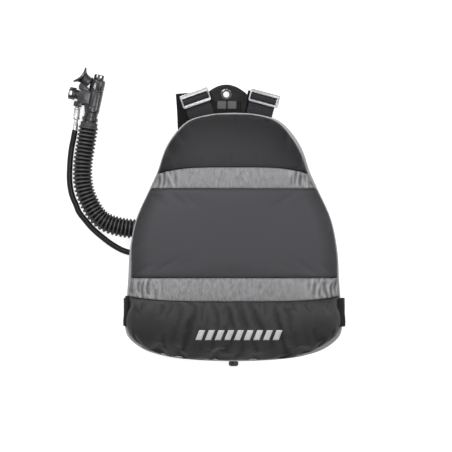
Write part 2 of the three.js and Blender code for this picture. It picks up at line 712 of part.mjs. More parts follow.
function addHoseTies() {
  const lower = turned(ring(ELBOW.r + GAP, ELBOW.r + 2.8, -4, 4), 18, "x");
  add("hose_tie_lower", lower, PLASTIC).position.set(ELBOW.faceX + 5, ELBOW.y, ELBOW.z);
  const upper = turned(ring(13 + GAP, 15.6, 1, 8), 18, "y");
  const tie = add("hose_tie_upper", upper, PLASTIC);
  tie.position.set(INFLATOR.x, INFLATOR.y, INFLATOR.z);
  tie.rotation.z = THREE.MathUtils.degToRad(INFLATOR.turn);
}

function addInflator() {
  const inflator = new THREE.Group();
  inflator.position.set(INFLATOR.x, INFLATOR.y, INFLATOR.z);
  inflator.rotation.z = THREE.MathUtils.degToRad(INFLATOR.turn);
  group.add(inflator);
  addInflatorBody(inflator);
  addDeflateValve(inflator);
  addInflateButton(inflator);
  addMouthpiece(inflator);
}

function addInflatorBody(parent) {
  const barrel = [[0, 0], [13, 0], [13, 17], [14.3, 19], [14.3, 58], [0, 58]];
  const housing = slab(roundedRect(30, 26, 5), 22, 3).translate(-19, 44, -11);
  const boss = rod(9, -40, -30, "x").translate(0, 46, 0);
  const bore = rod(4.2, -45, -20, "x", 16).translate(0, 46, 0);
  const passage = rod(9, -1, 40, "y");
  const body = cut(join(turned(barrel, 20, "y"), housing, boss), bore, passage);
  add("inflator_body", body, PLASTIC, parent);
}

function addDeflateValve(parent) {
  const cap = [
    [0, 58.3], [14.3, 58.3], [14.3, 79], [13, 82], [10.2, 82], [10.2, 67], [0, 67],
  ];
  add("inflator_top_cap", turned(cap, 18, "y"), PLASTIC, parent);
  const button = [
    [0, 73.6], [3.6, 73.6], [3.6, 80], [9.7, 80], [9.7, 90.5], [8.7, 92], [0, 92],
  ];
  add("deflate_button", turned(button, 18, "y"), PLASTIC, parent);
  const spring = helix(6.4, 0.8, 67.3, 79.7, 3).rotateX(-Math.PI / 2);
  add("deflate_spring", spring, STEEL, parent);
}

function addInflateButton(parent) {
  const cup = [
    [0, 50], [10.8, 50], [12, 48.8], [12, 37.4], [9.5, 37.4], [9.5, 46], [3.4, 46], [3.4, 27], [0, 27],
  ].reverse();
  const button = turned(cup, 18, "x");
  button.rotateY(Math.PI).translate(0, 46, 0);
  add("inflate_button", button, PLASTIC, parent);
  const spring = helix(6.4, 0.7, 40.3, 45.7, 2).rotateY(-Math.PI / 2).translate(0, 46, 0);
  add("inflate_spring", spring, STEEL, parent);
}

// The mouthpiece's neck is saddled on the barrel's head and leans away from it.
function addMouthpiece(parent) {
  const neck = [
    [6, 9], [9.2, 9], [9.2, 28], [10.5, 34], [18.5, 41], [18.5, 44.5], [13.5, 45], [7, 36], [6, 9],
  ];
  const piece = turned(neck, 18, "y").scale(1, 1, 0.7);
  piece.rotateZ(THREE.MathUtils.degToRad(59.8)).translate(0, 62.7, 0);
  add("mouthpiece", cut(piece, rod(14.7, 40, 100, "y")), RUBBER, parent);
}

function addCoupler() {
  const coupler = new THREE.Group();
  coupler.position.set(COUPLER.x, COUPLER.y, COUPLER.z);
  coupler.rotation.z = THREE.MathUtils.degToRad(COUPLER.turn);
  group.add(coupler);
  const ferrule = [[0, 0.4], [5.2, 0.4], [5.2, 12], [4, 14], [4, 38], [0, 38]];
  add("lp_ferrule", turned(ferrule, 14, "y"), STEEL, coupler);
  const sleeve = [
    [4.4, 21], [7, 21], [7, 25], [6.3, 26], [6.3, 40], [7, 41], [7, 43], [4.4, 43], [4.4, 21],
  ];
  add("quick_connect_sleeve", turned(sleeve, 16, "y"), STEEL, coupler);
  const nipple = [[0, 38.4], [4, 38.4], [4, 50.2], [0, 50.2]];
  add("lp_nipple", turned(nipple, 12, "y"), STEEL, coupler);
}

addBackPanels();
addFrontCover();
addAirCell();
addShoulderPlate();
addBackStraps();
addSlides();
addFrontStraps();
addSpineStrap();
addLumbar();
addPlateScrews();
addWaistBelt();
addBeltLoops();
addBuckle();
addShoulderRings();
addDumpValve();
addHoses();
addElbow();
addHoseTies();
addInflator();
addCoupler();

export default group;
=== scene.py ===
import json
import math

import bmesh
import bpy
import numpy as np
from mathutils import Matrix, Vector
from mathutils.bvhtree import BVHTree

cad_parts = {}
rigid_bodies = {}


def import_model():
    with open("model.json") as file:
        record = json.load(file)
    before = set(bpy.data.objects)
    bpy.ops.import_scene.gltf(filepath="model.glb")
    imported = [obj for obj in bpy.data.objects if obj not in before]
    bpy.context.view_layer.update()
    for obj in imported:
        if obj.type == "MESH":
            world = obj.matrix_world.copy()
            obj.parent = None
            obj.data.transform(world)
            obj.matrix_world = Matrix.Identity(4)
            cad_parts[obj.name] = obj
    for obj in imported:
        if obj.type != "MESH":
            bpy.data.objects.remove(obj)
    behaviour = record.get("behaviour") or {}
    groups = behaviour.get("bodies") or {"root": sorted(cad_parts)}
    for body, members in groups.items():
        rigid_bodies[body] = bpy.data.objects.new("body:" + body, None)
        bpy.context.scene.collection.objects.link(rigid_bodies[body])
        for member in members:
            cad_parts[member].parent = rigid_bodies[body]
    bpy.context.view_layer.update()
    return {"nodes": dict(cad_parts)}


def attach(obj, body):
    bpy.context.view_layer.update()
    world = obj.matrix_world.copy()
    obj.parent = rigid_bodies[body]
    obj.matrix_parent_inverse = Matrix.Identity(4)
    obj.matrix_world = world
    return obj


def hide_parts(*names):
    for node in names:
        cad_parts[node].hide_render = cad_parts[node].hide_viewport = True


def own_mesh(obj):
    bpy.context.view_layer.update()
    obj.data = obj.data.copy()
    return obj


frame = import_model()

MM = 0.001

# ---- Driving dimensions, as the CAD has them, in millimetres ---------------------------
WEB = 50.0
WEB_SKIN = 2.3  # the webbing's skins are slightly thinner than its solids
OUTLINE = [  # half of the cover's outline: half width, Y
    (0, 380), (40, 377.5), (84, 366), (107, 347), (130, 313), (146, 267), (160, 236),
    (187, 175), (199, 113), (202, 60), (206, 6), (208, -26), (203, -47), (175, -71),
    (130, -86), (75, -93), (0, -96),
]
HEAD_Y, FOOT_Y = 380.0, -96.0
CENTRE_Y = (HEAD_Y + FOOT_Y) / 2
HALF_LENGTH = (HEAD_Y - FOOT_Y) / 2
COVER_X = 3.0
RIM_Z, EDGE_DROP, END_DROP = 58.0, 5.0, 1.0
TOP_RISE, BOTTOM_DEPTH = 47.0, 17.0
SEAM = 0.99
BAND_SEAM = 0.987
DOME_SEAM = (275, -12)  # Y at the middle and rise towards the sides
BAND_LOW = (234.6, 0)
LOWER_SEAM = (64, 0)
POUCH_SEAM = (19.4, 10)
PLATE_X, PLATE_Y, PLATE_Z = -11.0, 421.0, 9.3
EYELET_Y = 416.5
SLIDES = {"left": (-70, 408, 19.4), "right": (60.5, 408, -15.2)}
HOSE_D, LP_D = 38.0, 11.2
ELBOW = Vector((-100, 155, 19.4))
VALVE = Vector((3, -53, 0))
INFLATOR = (-274, 364, 19.2, -12.2)
COUPLER = (-302, 347.5, 12, -5.2)
BUTTON_Y = 46  # the inflate button's height on the inflator
SCREW_X = (-35, 35)
RING_X, RING_Y = {"left": -76.6, "right": 58.6}, 262
LOOP_X, LOOP_Z = 177, 30.9
TIE_X = -127

HOSE_ROUTE = [
    (-274.2, 362.6, 19.2), (-277.4, 343.7, 19.2), (-282.2, 313, 19.2), (-286.6, 282.2, 19.2),
    (-286.8, 251.5, 19.2), (-282.4, 228.5, 19.2), (-275.5, 211.2, 19.2), (-267.8, 196.8, 19.2),
    (-259.2, 184.3, 19.2), (-247.7, 173.8, 19.2), (-234.2, 167, 19.2), (-219.8, 162.6, 19.2),
    (-205.4, 159.7, 19.2), (-190, 158, 19.2), (-165, 156.2, 19.2), (-148, 155.2, 19.3),
    (-132.4, 155, 19.4),
]
LP_ROUTE = [
    (-302.2, 347.2, 12), (-305.4, 330, 10), (-309, 313, 7.2), (-312.2, 282.2, 5.9),
    (-312.8, 251.5, 5.8), (-310.5, 232.3, 5.8), (-306.2, 217, 5.8), (-300.9, 205.4, 5.8),
    (-294.7, 190, 5.8), (-282.8, 174.7, 5.8), (-269.8, 159.4, 5.8), (-252.5, 144, 5.8),
    (-232.3, 128.6, 5.8), (-208.3, 115.5, 5.8), (-185, 110, 5.8), (-160, 108.5, 5.8),
    (-130, 110.5, 7.4), (-104, 114, 9), (-70, 118, 9.1), (-44, 124, 8.6), (-24, 139, 7),
    (-14, 168, 7.6), (-12, 200, 8.2),
]


# ---- Camera ---------------------------------------------------------------------------
def make_camera():
    """Looks straight down from far off at the vest's back, as it lies on its harness side."""
    data = bpy.data.cameras.new("camera")
    data.lens = 300
    data.sensor_width = 36
    camera = bpy.data.objects.new("camera", data)
    bpy.context.scene.collection.objects.link(camera)
    camera.location = (-0.0115, 0.1632, 7.262)
    camera.rotation_euler = (0, 0, 0)
    bpy.context.scene.camera = camera


# ---- Mesh helpers ---------------------------------------------------------------------
def make(name, points, faces, material, body="root", smooth=True, along=None, shift=0.0, **marks):
    """A piece from points in millimetres; along stores where each point lies on a strap or hose."""
    mesh = bpy.data.meshes.new(name)
    points = np.array([tuple(p) for p in points], float) + (shift, 0, 0)
    mesh.from_pydata((points * MM).tolist(), [], faces)
    mesh.update()
    if along is not None:
        layer = mesh.attributes.new("along", "FLOAT_VECTOR", "POINT")
        layer.data.foreach_set("vector", np.asarray(along, np.float32).ravel() * MM)
    mesh.polygons.foreach_set("use_smooth", [smooth] * len(mesh.polygons))
    work = bmesh.new()
    work.from_mesh(mesh)
    bmesh.ops.recalc_face_normals(work, faces=work.faces)
    work.to_mesh(mesh)
    work.free()
    return new_piece(name, mesh, material, body, **marks)


def new_piece(name, mesh, material, body, node=None, slot=None):
    """Puts a mesh on a CAD body and stands it in for a CAD node; slot is not used."""
    piece = bpy.data.objects.new(name, mesh)
    bpy.context.scene.collection.objects.link(piece)
    mesh.materials.append(material)
    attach(piece, body)
    if node:
        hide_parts(node)
    kind = material.name.split(".")[0]  # Blender numbers a name that the frame has already taken
    return piece


def run_of(line):
    """How far along a line each of its points is."""
    return np.concatenate([[0], np.cumsum(np.linalg.norm(np.diff(line, axis=0), axis=1))])


def catmull(points, count, closed=False):
    """Centripetal Catmull-Rom points, evenly spaced along the curve."""
    p = np.asarray(points, float)
    if closed:
        p = np.vstack([p[-1], p, p[0], p[1]])
    else:
        p = np.vstack([2 * p[0] - p[1], p, 2 * p[-1] - p[-2]])
    dense = []
    for i in range(1, len(p) - 2):
        a, b, c, d = p[i - 1:i + 3]
        t0 = 0.0
        t1 = t0 + max(np.linalg.norm(b - a) ** 0.5, 1e-6)
        t2 = t1 + max(np.linalg.norm(c - b) ** 0.5, 1e-6)
        t3 = t2 + max(np.linalg.norm(d - c) ** 0.5, 1e-6)
        t = np.linspace(t1, t2, 24, endpoint=False)[:, None]
        ab = (t1 - t) / (t1 - t0) * a + (t - t0) / (t1 - t0) * b
        bc = (t2 - t) / (t2 - t1) * b + (t - t1) / (t2 - t1) * c
        cd = (t3 - t) / (t3 - t2) * c + (t - t2) / (t3 - t2) * d
        abc = (t2 - t) / (t2 - t0) * ab + (t - t0) / (t2 - t0) * bc
        bcd = (t3 - t) / (t3 - t1) * bc + (t - t1) / (t3 - t1) * cd
        dense.append((t2 - t) / (t2 - t1) * abc + (t - t1) / (t2 - t1) * bcd)
    dense = np.vstack(dense + [p[-2][None]])
    run = run_of(dense)
    wanted = np.linspace(0, run[-1], count)
    return np.column_stack([np.interp(wanted, run, dense[:, k]) for k in range(p.shape[1])])


def frames_along(line):
    """Two normals at each point, carried along without twist."""
    tangents = np.gradient(line, axis=0)
    tangents /= np.linalg.norm(tangents, axis=1)[:, None]
    up = np.array([0.0, 0.0, 1.0])
    if abs(tangents[0] @ up) > 0.9:
        up = np.array([1.0, 0.0, 0.0])
    side = np.cross(tangents[0], up)
    side /= np.linalg.norm(side)
    sides = []
    for tangent in tangents:
        side = side - (side @ tangent) * tangent
        side = side / np.linalg.norm(side)
        sides.append(side)
    sides = np.array(sides)
    return sides, np.cross(tangents, sides)


def grid_faces(rows, columns, wrap=False):
    """Quads of a grid of points; wrap joins its last column to its first."""
    faces = []
    for j in range(rows - 1):
        for i in range(columns if wrap else columns - 1):
            n = (i + 1) % columns
            faces.append((j * columns + i, j * columns + n, (j + 1) * columns + n, (j + 1) * columns + i))
    return faces


def tube_faces(rows, columns):
    """Faces of a closed tube with flat ends."""
    ends = [tuple(range(columns))[::-1], tuple((rows - 1) * columns + i for i in range(columns))]
    return grid_faces(rows, columns, True) + ends


def swept(name, line, radii, material, body="root", sides=24, **marks):
    """A round tube along a line, with its own radius at each point."""
    line = np.asarray(line, float)
    radii = np.broadcast_to(radii, len(line))
    angles = np.linspace(0, 2 * math.pi, sides, endpoint=False)
    points, along = [], []
    for centre, a, b, r, s in zip(line, *frames_along(line), radii, run_of(line)):
        for angle in angles:
            points.append(centre + r * (math.cos(angle) * a + math.sin(angle) * b))
            along.append((s, angle * r, 0))
    return make(name, points, tube_faces(len(line), sides), material, body, along=along, **marks)


def rounded(profile, radius, steps=3):
    """A profile with its corners turned into small arcs; the ends stay."""
    out = [profile[0]]
    for before, corner, after in zip(profile, profile[1:], profile[2:]):
        a, c, b = (np.asarray(p, float) for p in (before, corner, after))
        la, lb = np.linalg.norm(a - c), np.linalg.norm(b - c)
        reach = min(radius, la * 0.45, lb * 0.45)
        if reach < 0.05:
            out.append(tuple(c))
            continue
        start, end = c + (a - c) / la * reach, c + (b - c) / lb * reach
        for i in range(steps + 1):
            t = i / steps
            out.append(tuple((1 - t) ** 2 * start + 2 * t * (1 - t) * c + t * t * end))
    out.append(profile[-1])
    return out


def lathe(name, profile, material, matrix=Matrix(), body="root", sides=48, soften=0.5, ribs=None, **marks):
    """A turned piece; profile is (radius, height). ribs = (count, depth, low, high) flutes it."""
    profile = rounded(profile, soften)
    closed = profile[0] == profile[-1]
    if closed:
        profile = profile[:-1]
    points, index = [], []
    for r, h in profile:
        row = []
        if r < 1e-6:
            row = [len(points)] * sides
            points.append(matrix @ Vector((0, 0, h)))
        else:
            for i in range(sides):
                angle = 2 * math.pi * i / sides
                reach = r
                if ribs and ribs[2] <= h <= ribs[3]:
                    reach = r - ribs[1] * (0.5 - 0.5 * math.cos(ribs[0] * angle))
                row.append(len(points))
                points.append(matrix @ Vector((reach * math.cos(angle), reach * math.sin(angle), h)))
        index.append(row)
    faces = []
    pairs = list(zip(index, index[1:])) + ([(index[-1], index[0])] if closed else [])
    for low, high in pairs:
        for i in range(sides):
            n = (i + 1) % sides
            ids = list(dict.fromkeys((low[i], low[n], high[n], high[i])))
            if len(ids) > 2:
                faces.append(tuple(ids))
    return make(name, points, faces, material, body, **marks)


def slab(name, outline, low, high, material, matrix=Matrix(), body="root", bevel=0.6, holes=(), **marks):
    """A flat piece of one outline, with holes bridged in, and softened edges."""
    work = bmesh.new()
    edges = []
    for ring in (outline, *holes):
        verts = [work.verts.new((x, y, low)) for x, y in ring]
        edges += [work.edges.new((verts[i], verts[(i + 1) % len(verts)])) for i in range(len(verts))]
    bmesh.ops.triangle_fill(work, use_beauty=True, use_dissolve=False, edges=edges)
    bmesh.ops.dissolve_limit(work, angle_limit=0.01, verts=work.verts, edges=work.edges)
    extruded = bmesh.ops.extrude_face_region(work, geom=work.faces[:])
    moved = [v for v in extruded["geom"] if isinstance(v, bmesh.types.BMVert)]
    bmesh.ops.translate(work, vec=(0, 0, high - low), verts=moved)
    bmesh.ops.recalc_face_normals(work, faces=work.faces)
    sharp = [e for e in work.edges if len(e.link_faces) == 2 and e.calc_face_angle(0) > 0.9]
    bmesh.ops.bevel(work, geom=sharp, offset=bevel, segments=2, affect="EDGES", profile=0.6)
    bmesh.ops.transform(work, matrix=Matrix.Scale(MM, 4) @ matrix, verts=work.verts)
    mesh = bpy.data.meshes.new(name)
    work.to_mesh(mesh)
    work.free()
    for polygon in mesh.polygons:
        polygon.use_smooth = True
    mesh.set_sharp_from_angle(angle=math.radians(35))
    return new_piece(name, mesh, material, body, **marks)


def arc(cx, cy, radius, start, end, steps):
    """Points along a part circle, in degrees."""
    angles = [math.radians(start + (end - start) * i / steps) for i in range(steps + 1)]
    return [(cx + radius * math.cos(a), cy + radius * math.sin(a)) for a in angles]


def rounded_rect(width, height, radius, steps=5, cx=0.0, cy=0.0):
    """A rectangle's outline with round corners."""
    x, y = width / 2 - radius, height / 2 - radius
    return (arc(cx + x, cy - y, radius, -90, 0, steps) + arc(cx + x, cy + y, radius, 0, 90, steps)
            + arc(cx - x, cy + y, radius, 90, 180, steps) + arc(cx - x, cy - y, radius, 180, 270, steps))


# ---- Materials ------------------------------------------------------------------------
def new_material(name, color, roughness, metallic=0.0, sheen=0.0, gloss=0.5):
    """A material, its shader, its node net and its object coordinates."""
    material = bpy.data.materials.new(name)
    material.use_nodes = True
    shader = material.node_tree.nodes["Principled BSDF"]
    shader.inputs["Base Color"].default_value = (*color, 1)
    shader.inputs["Roughness"].default_value = roughness
    shader.inputs["Metallic"].default_value = metallic
    shader.inputs["Sheen Weight"].default_value = sheen
    shader.inputs["Sheen Roughness"].default_value = 0.5
    shader.inputs["Specular IOR Level"].default_value = gloss
    net = Net(material.node_tree)
    return material, shader, net, net.add("ShaderNodeTexCoord").outputs["Object"]


class Net:
    """Short ways to add and join the nodes of a material or world."""

    def __init__(self, tree):
        self.nodes = tree.nodes
        self.links = tree.links

    def add(self, kind, **values):
        node = self.nodes.new(kind)
        for key, value in values.items():
            if key.startswith("in_"):
                node.inputs[key[3:].replace("_", " ")].default_value = value
            else:
                setattr(node, key, value)
        return node

    def join(self, source, target):
        self.links.new(source, target)

    def split(self, vector):
        node = self.add("ShaderNodeSeparateXYZ")
        self.join(vector, node.inputs[0])
        return node.outputs

    def stretched(self, vector, scale):
        node = self.add("ShaderNodeMapping")
        node.inputs["Scale"].default_value = scale
        self.join(vector, node.inputs["Vector"])
        return node.outputs[0]

    def math(self, operation, a, b=None, clamp=False):
        node = self.add("ShaderNodeMath", operation=operation, use_clamp=clamp)
        for socket, value in zip(node.inputs, (a, b)):
            if value is None:
                continue
            if isinstance(value, (int, float)):
                socket.default_value = value
            else:
                self.join(value, socket)
        return node.outputs[0]

    def mix(self, *parts):
        """Weighted sum of (value, weight) parts."""
        total = None
        for value, weight in parts:
            part = self.math("MULTIPLY", value, weight)
            total = part if total is None else self.math("ADD", total, part)
        return total

    def around(self, value, centre, spread):
        """A 0..1 value as a swing of this spread round a centre."""
        return self.math("ADD", self.math("MULTIPLY", value, spread), centre - spread / 2)

    def noise(self, vector, scale, detail=4.0, rough=0.55):
        node = self.add("ShaderNodeTexNoise", in_Scale=scale, in_Detail=detail, in_Roughness=rough)
        self.join(vector, node.inputs["Vector"])
        return node.outputs["Fac"]

    def wave(self, place, period):
        """A 0..1 sine of this period along a coordinate."""
        angle = self.math("MULTIPLY", place, 2 * math.pi / period)
        return self.math("ADD", self.math("MULTIPLY", self.math("SINE", angle), 0.5), 0.5)

    def tint(self, factor, dark, light):
        """Runs from one colour to another over a 0..1 factor."""
        node = self.add("ShaderNodeMix", data_type="RGBA")
        self.join(factor, node.inputs["Factor"])
        # inputs 6 and 7 are the mix node's two colours
        node.inputs[6].default_value = (*dark, 1)
        node.inputs[7].default_value = (*light, 1)
        return node.outputs[2]

    def with_painted_shading(self, color):
        """Scales a colour by the stored painted shading: painted shade and painted highlights kept per point.
        """
        painted_shading = self.add("ShaderNodeAttribute", attribute_name="painted_shading").outputs["Fac"]
        scaled = self.add("ShaderNodeVectorMath", operation="SCALE")
        self.join(color, scaled.inputs[0])
        self.join(painted_shading, scaled.inputs["Scale"])
        return scaled.outputs[0]

    def bump(self, height, distance, strength):
        node = self.add("ShaderNodeBump", in_Distance=distance, in_Strength=strength)
        self.join(height, node.inputs["Height"])
        return node.outputs["Normal"]


def shade(color, factor):
    """A colour made lighter or darker."""
    return tuple(min(c * factor, 1.0) for c in color)


def cloth_material(name, color, period, contrast=0.16, roughness=0.7, sheen=0.04, bump=0.25, mottle=0.1,
                   gloss=0.3, with_painted_shading=False):
    """Plain weave with soft colour variation; with the stored shading on, painted shade in creases and
    towards seams and rim, and a painted highlight on ridges.
    """
    material, shader, net, coords = new_material(name, color, roughness, sheen=sheen, gloss=gloss)
    x, y, _ = net.split(coords)
    weave = net.math("MULTIPLY", net.wave(x, period * MM), net.wave(y, period * MM))
    blotch = net.noise(coords, 14, 5)
    grain = net.noise(coords, 420, 2)
    mixed = net.mix((weave, contrast), (blotch, mottle), (grain, 0.06))
    span = contrast + mottle + 0.06
    factor = net.math("DIVIDE", mixed, span, clamp=True)
    tinted = net.tint(factor, shade(color, 1 - span), shade(color, 1 + span))
    net.join(net.with_painted_shading(tinted) if with_painted_shading else tinted, shader.inputs["Base Color"])
    net.join(net.around(blotch, roughness, 0.14), shader.inputs["Roughness"])
    net.join(net.bump(net.mix((grain, 0.5), (weave, 1)), 0.00025, bump), shader.inputs["Normal"])
    return material


def mesh_material(name, color):
    """Open warp-knit mesh: zigzag rows of small cells, lighter yarn over dark holes."""
    material, shader, net, coords = new_material(name, color, 0.85, sheen=0.05, gloss=0.25)
    x, y, _ = net.split(coords)
    x = net.mix((net.noise(coords, 55, 3), 0.004), (x, 1))
    rows = net.wave(net.math("ADD", y, net.math("PINGPONG", x, 0.0075)), 0.0046)
    yarn = net.mix((rows, 0.62), (net.wave(x, 0.0023), 0.38))
    streak = net.noise(net.stretched(coords, (1.0, 0.28, 1.0)), 330, 3, 0.7)
    factor = net.math("SUBTRACT", net.mix((yarn, 0.5), (streak, 1.1)), 0.36, clamp=True)
    tinted = net.tint(factor, shade(color, 0.3), shade(color, 1.7))
    # The stored shading adds painted shade in creases and towards rim and seams, and painted highlights on
    # ridges.
    net.join(net.with_painted_shading(tinted), shader.inputs["Base Color"])
    net.join(net.bump(yarn, 0.0006, 0.45), shader.inputs["Normal"])
    return material


def webbing_material(name, color):
    """Flat webbing: fine ribs across, a lengthwise grain and worn, lighter selvedges."""
    material, shader, net, coords = new_material(name, color, 0.66, gloss=0.22)
    length, width, _ = net.split(net.add("ShaderNodeAttribute", attribute_name="along").outputs["Vector"])
    ribs = net.wave(length, 0.0021)
    lanes = net.wave(width, 0.0034)
    edge = net.math("POWER", net.math("MULTIPLY", net.math("ABSOLUTE", width), 1 / 0.025), 10)
    texture_mix = net.mix((ribs, 0.35), (lanes, 0.25), (net.noise(coords, 45, 4), 0.25))
    factor = net.math("ADD", texture_mix, net.math("MULTIPLY", edge, 0.12), clamp=True)
    net.join(net.tint(factor, shade(color, 0.65), shade(color, 1.45)), shader.inputs["Base Color"])
    net.join(net.bump(net.math("ADD", ribs, lanes), 0.0003, 0.45), shader.inputs["Normal"])
    return material


def plastic_material(name, color, roughness=0.34, grain=900.0, gloss=0.5, with_painted_shading=False, upward_highlight=1.0):
    """Moulded plastic or rubber: fine texture, slight gloss changes, and a painted highlight on what faces
    up, broken up by noise.
    """
    material, shader, net, coords = new_material(name, color, roughness, gloss=gloss)
    fine = net.noise(coords, grain, 2)
    # Painted highlight: faces that point up are lightened by the last factor, in noisy patches.
    facing = net.split(net.add("ShaderNodeTexCoord").outputs["Normal"])[2]
    upward = net.math("POWER", net.math("MAXIMUM", facing, 0.0), 3)
    texture_mix = net.mix((net.noise(coords, 130, 4, 0.7), 1.6), (fine, 0.4))
    factor = net.math("MULTIPLY", upward, net.math("SUBTRACT", texture_mix, 0.3), clamp=True)
    tinted = net.tint(factor, color, shade(color, upward_highlight))
    net.join(net.with_painted_shading(tinted) if with_painted_shading else tinted, shader.inputs["Base Color"])
    net.join(net.around(net.noise(coords, 35, 4), roughness, 0.22), shader.inputs["Roughness"])
    net.join(net.bump(fine, 0.00012, 0.3), shader.inputs["Normal"])
    return material


def metal_material(name, color, roughness=0.28):
    """Tumbled stainless steel with faint scratches and finger marks."""
    material, shader, net, coords = new_material(name, color, roughness, metallic=1.0)
    scratch = net.noise(net.stretched(coords, (1.0, 9.0, 9.0)), 320, 3)
    marks = net.noise(coords, 60, 4)
    net.join(net.tint(marks, shade(color, 0.86), shade(color, 1.06)), shader.inputs["Base Color"])
    net.join(net.around(scratch, roughness, 0.2), shader.inputs["Roughness"])
    net.join(net.bump(scratch, 0.0001, 0.2), shader.inputs["Normal"])
    return material


# The first three cloths carry painted shading per point: painted shade in creases and towards rims and seams,
# painted highlights on ridges.
CHARCOAL = cloth_material("charcoal_fabric", (0.0325, 0.0315, 0.037), 1.3, bump=0.2, with_painted_shading=True)
GRAPHITE = cloth_material("graphite_fabric", (0.061, 0.060, 0.067), 1.3, bump=0.2, mottle=0.05, with_painted_shading=True)
POUCH = cloth_material("pouch_fabric", (0.033, 0.033, 0.034), 1.6, contrast=0.22, bump=0.3, roughness=0.5,
                       with_painted_shading=True)
LINING = cloth_material("lining_fabric", (0.36, 0.355, 0.36), 1.2, contrast=0.1, mottle=0.2)
MESH = mesh_material("mesh_fabric", (0.272, 0.272, 0.278))
THREAD = cloth_material("thread", (0.045, 0.045, 0.05), 0.6, contrast=0.3)
PATCH = cloth_material("patch_fabric", (0.12, 0.12, 0.12), 1.1, contrast=0.25)
LABEL = cloth_material("label_fabric", (0.62, 0.62, 0.62), 1.0, contrast=0.12, roughness=0.55)
BLACK_WEB = webbing_material("black_webbing", (0.004, 0.004, 0.0045))
GREY_WEB = webbing_material("grey_webbing", (0.022, 0.022, 0.026))
FOAM = cloth_material("foam", (0.012, 0.012, 0.0125), 1.8, contrast=0.3, bump=0.4)
PLATE = cloth_material("plate_fabric", (0.006, 0.006, 0.007), 1.4, contrast=0.3, roughness=0.5, sheen=0.0,
                       gloss=0.25)
PLATE_PLASTIC = plastic_material("plate_plastic", (0.014, 0.014, 0.015), 0.5)
STEEL = metal_material("steel", (0.66, 0.66, 0.67))
SATIN_STEEL = metal_material("satin_steel", (0.40, 0.40, 0.41), 0.36)
DARK_STEEL = metal_material("dark_steel", (0.07, 0.07, 0.072), 0.4)
BRIGHT_STEEL = metal_material("bright_steel", (0.72, 0.72, 0.72), 0.42)
# The last factor on these four is a painted highlight on what faces up.
BLACK_PLASTIC = plastic_material("black_plastic", (0.003, 0.003, 0.0033), 0.26, gloss=0.6, upward_highlight=17)
RUBBER = plastic_material("rubber", (0.004, 0.004, 0.0043), 0.36, 600, gloss=0.55, upward_highlight=13)
HOSE_RUBBER = plastic_material("hose_rubber", (0.003, 0.003, 0.0033), 0.4, 700, gloss=0.3, upward_highlight=6)
RIDGED_RUBBER = plastic_material("ridged_rubber", (0.008, 0.008, 0.0085), 0.45, 700, gloss=0.3, with_painted_shading=True,
                                 upward_highlight=5)
BLADDER = plastic_material("bladder_film", (0.25, 0.25, 0.26), 0.5)


# ---- Cords ---------------------------------------------------------------------------
def route(points, spacing):
    """A cord's centre line at even spacing, and its length."""
    rough = catmull(points, 400)
    length = np.linalg.norm(np.diff(rough, axis=0), axis=1).sum()
    return catmull(points, int(length / spacing) + 1), length


def stand(x, y, z, turn):
    """Stands a piece on x, y, z, turned about Z in degrees."""
    return Matrix.Translation((x, y, z)) @ Matrix.Rotation(math.radians(turn), 4, "Z")


LAY_Y = Matrix.Rotation(-math.pi / 2, 4, "X")  # points a piece's own axis to +Y
LAY_BACK = Matrix.Rotation(-math.pi / 2, 4, "Y")  # points it to -X


def make_lp_ferrule():
    """The crimped sleeve and stem on the hose's upper end."""
    crimps = []
    for i in range(4):
        crimps += [(5.4, 1.6 + i * 2.6), (4.9, 2.6 + i * 2.6)]
    profile = [(0, 0.4), (5.4, 0.4), *crimps, (5.3, 12.4), (4.1, 14), (4, 38), (0, 38)]
    return lathe("lp_hose_ferrule", profile, BRIGHT_STEEL, stand(*COUPLER) @ LAY_Y, soften=0.25,
                 node="lp_ferrule")


def tie_band(name, place, radius, outer, low, high):
    """A ratchet cable tie: thin band with its square head."""
    band = [(radius, low), (outer - 0.8, low), (outer - 0.2, low + 0.6), (outer - 0.2, high - 0.6),
            (outer - 0.8, high), (radius, high), (radius, low)]
    ring = lathe(name + "_band", band, BLACK_PLASTIC, place, soften=0.15, node=name)
    turned = place @ Matrix.Rotation(math.radians(40), 4, "Z") @ Matrix.Rotation(math.pi / 2, 4, "X")
    head = slab(name + "_head", rounded_rect(6.5, high - low, 0.8, cy=(low + high) / 2), outer - 1.4,
                outer + 1.2, BLACK_PLASTIC, turned, bevel=0.4)
    return [ring, head]


def make_ties():
    """The tie on each end of the corrugated hose."""
    elbow = Matrix.Translation((TIE_X, ELBOW.y, ELBOW.z)) @ LAY_BACK
    upper = stand(*INFLATOR) @ LAY_Y
    return (tie_band("hose_tie_lower", elbow, 14.35, 16.8, -4, 4)
            + tie_band("hose_tie_upper", upper, 13.35, 15.6, 1, 8))


def make_corrugated_hose():
    """Even ridges between two plain cuffs."""
    line, length = route(HOSE_ROUTE, 0.92)
    run = np.linspace(0, length, len(line))
    pitch, cuff, depth, sides = 7.4, 9.0, 3.6, 40
    phase = (run % pitch) / pitch
    ridge = np.clip(0.62 + 0.75 * np.cos(2 * math.pi * (phase - 0.5)), 0, 1) ** 0.8
    ridged_part = np.minimum(run, length - run) / cuff >= 1
    radii = np.where(ridged_part, HOSE_D / 2 - depth * (1 - ridge), HOSE_D / 2 - 2.6)
    radii[[0, -1]] -= 0.8
    hose = swept("corrugated_hose_skin", line, radii, RIDGED_RUBBER, sides=sides, node="corrugated_hose")
    # Painted highlight on the ridge crests, painted shade in the grooves, and lighter plain cuffs.
    shading = np.ones(len(hose.data.vertices))
    shading[:sides * len(line)] = np.repeat(np.where(ridged_part, 0.1 + 2.6 * ridge ** 3, 1.9), sides)
    store_painted_shading(hose, shading)
    make_ties()


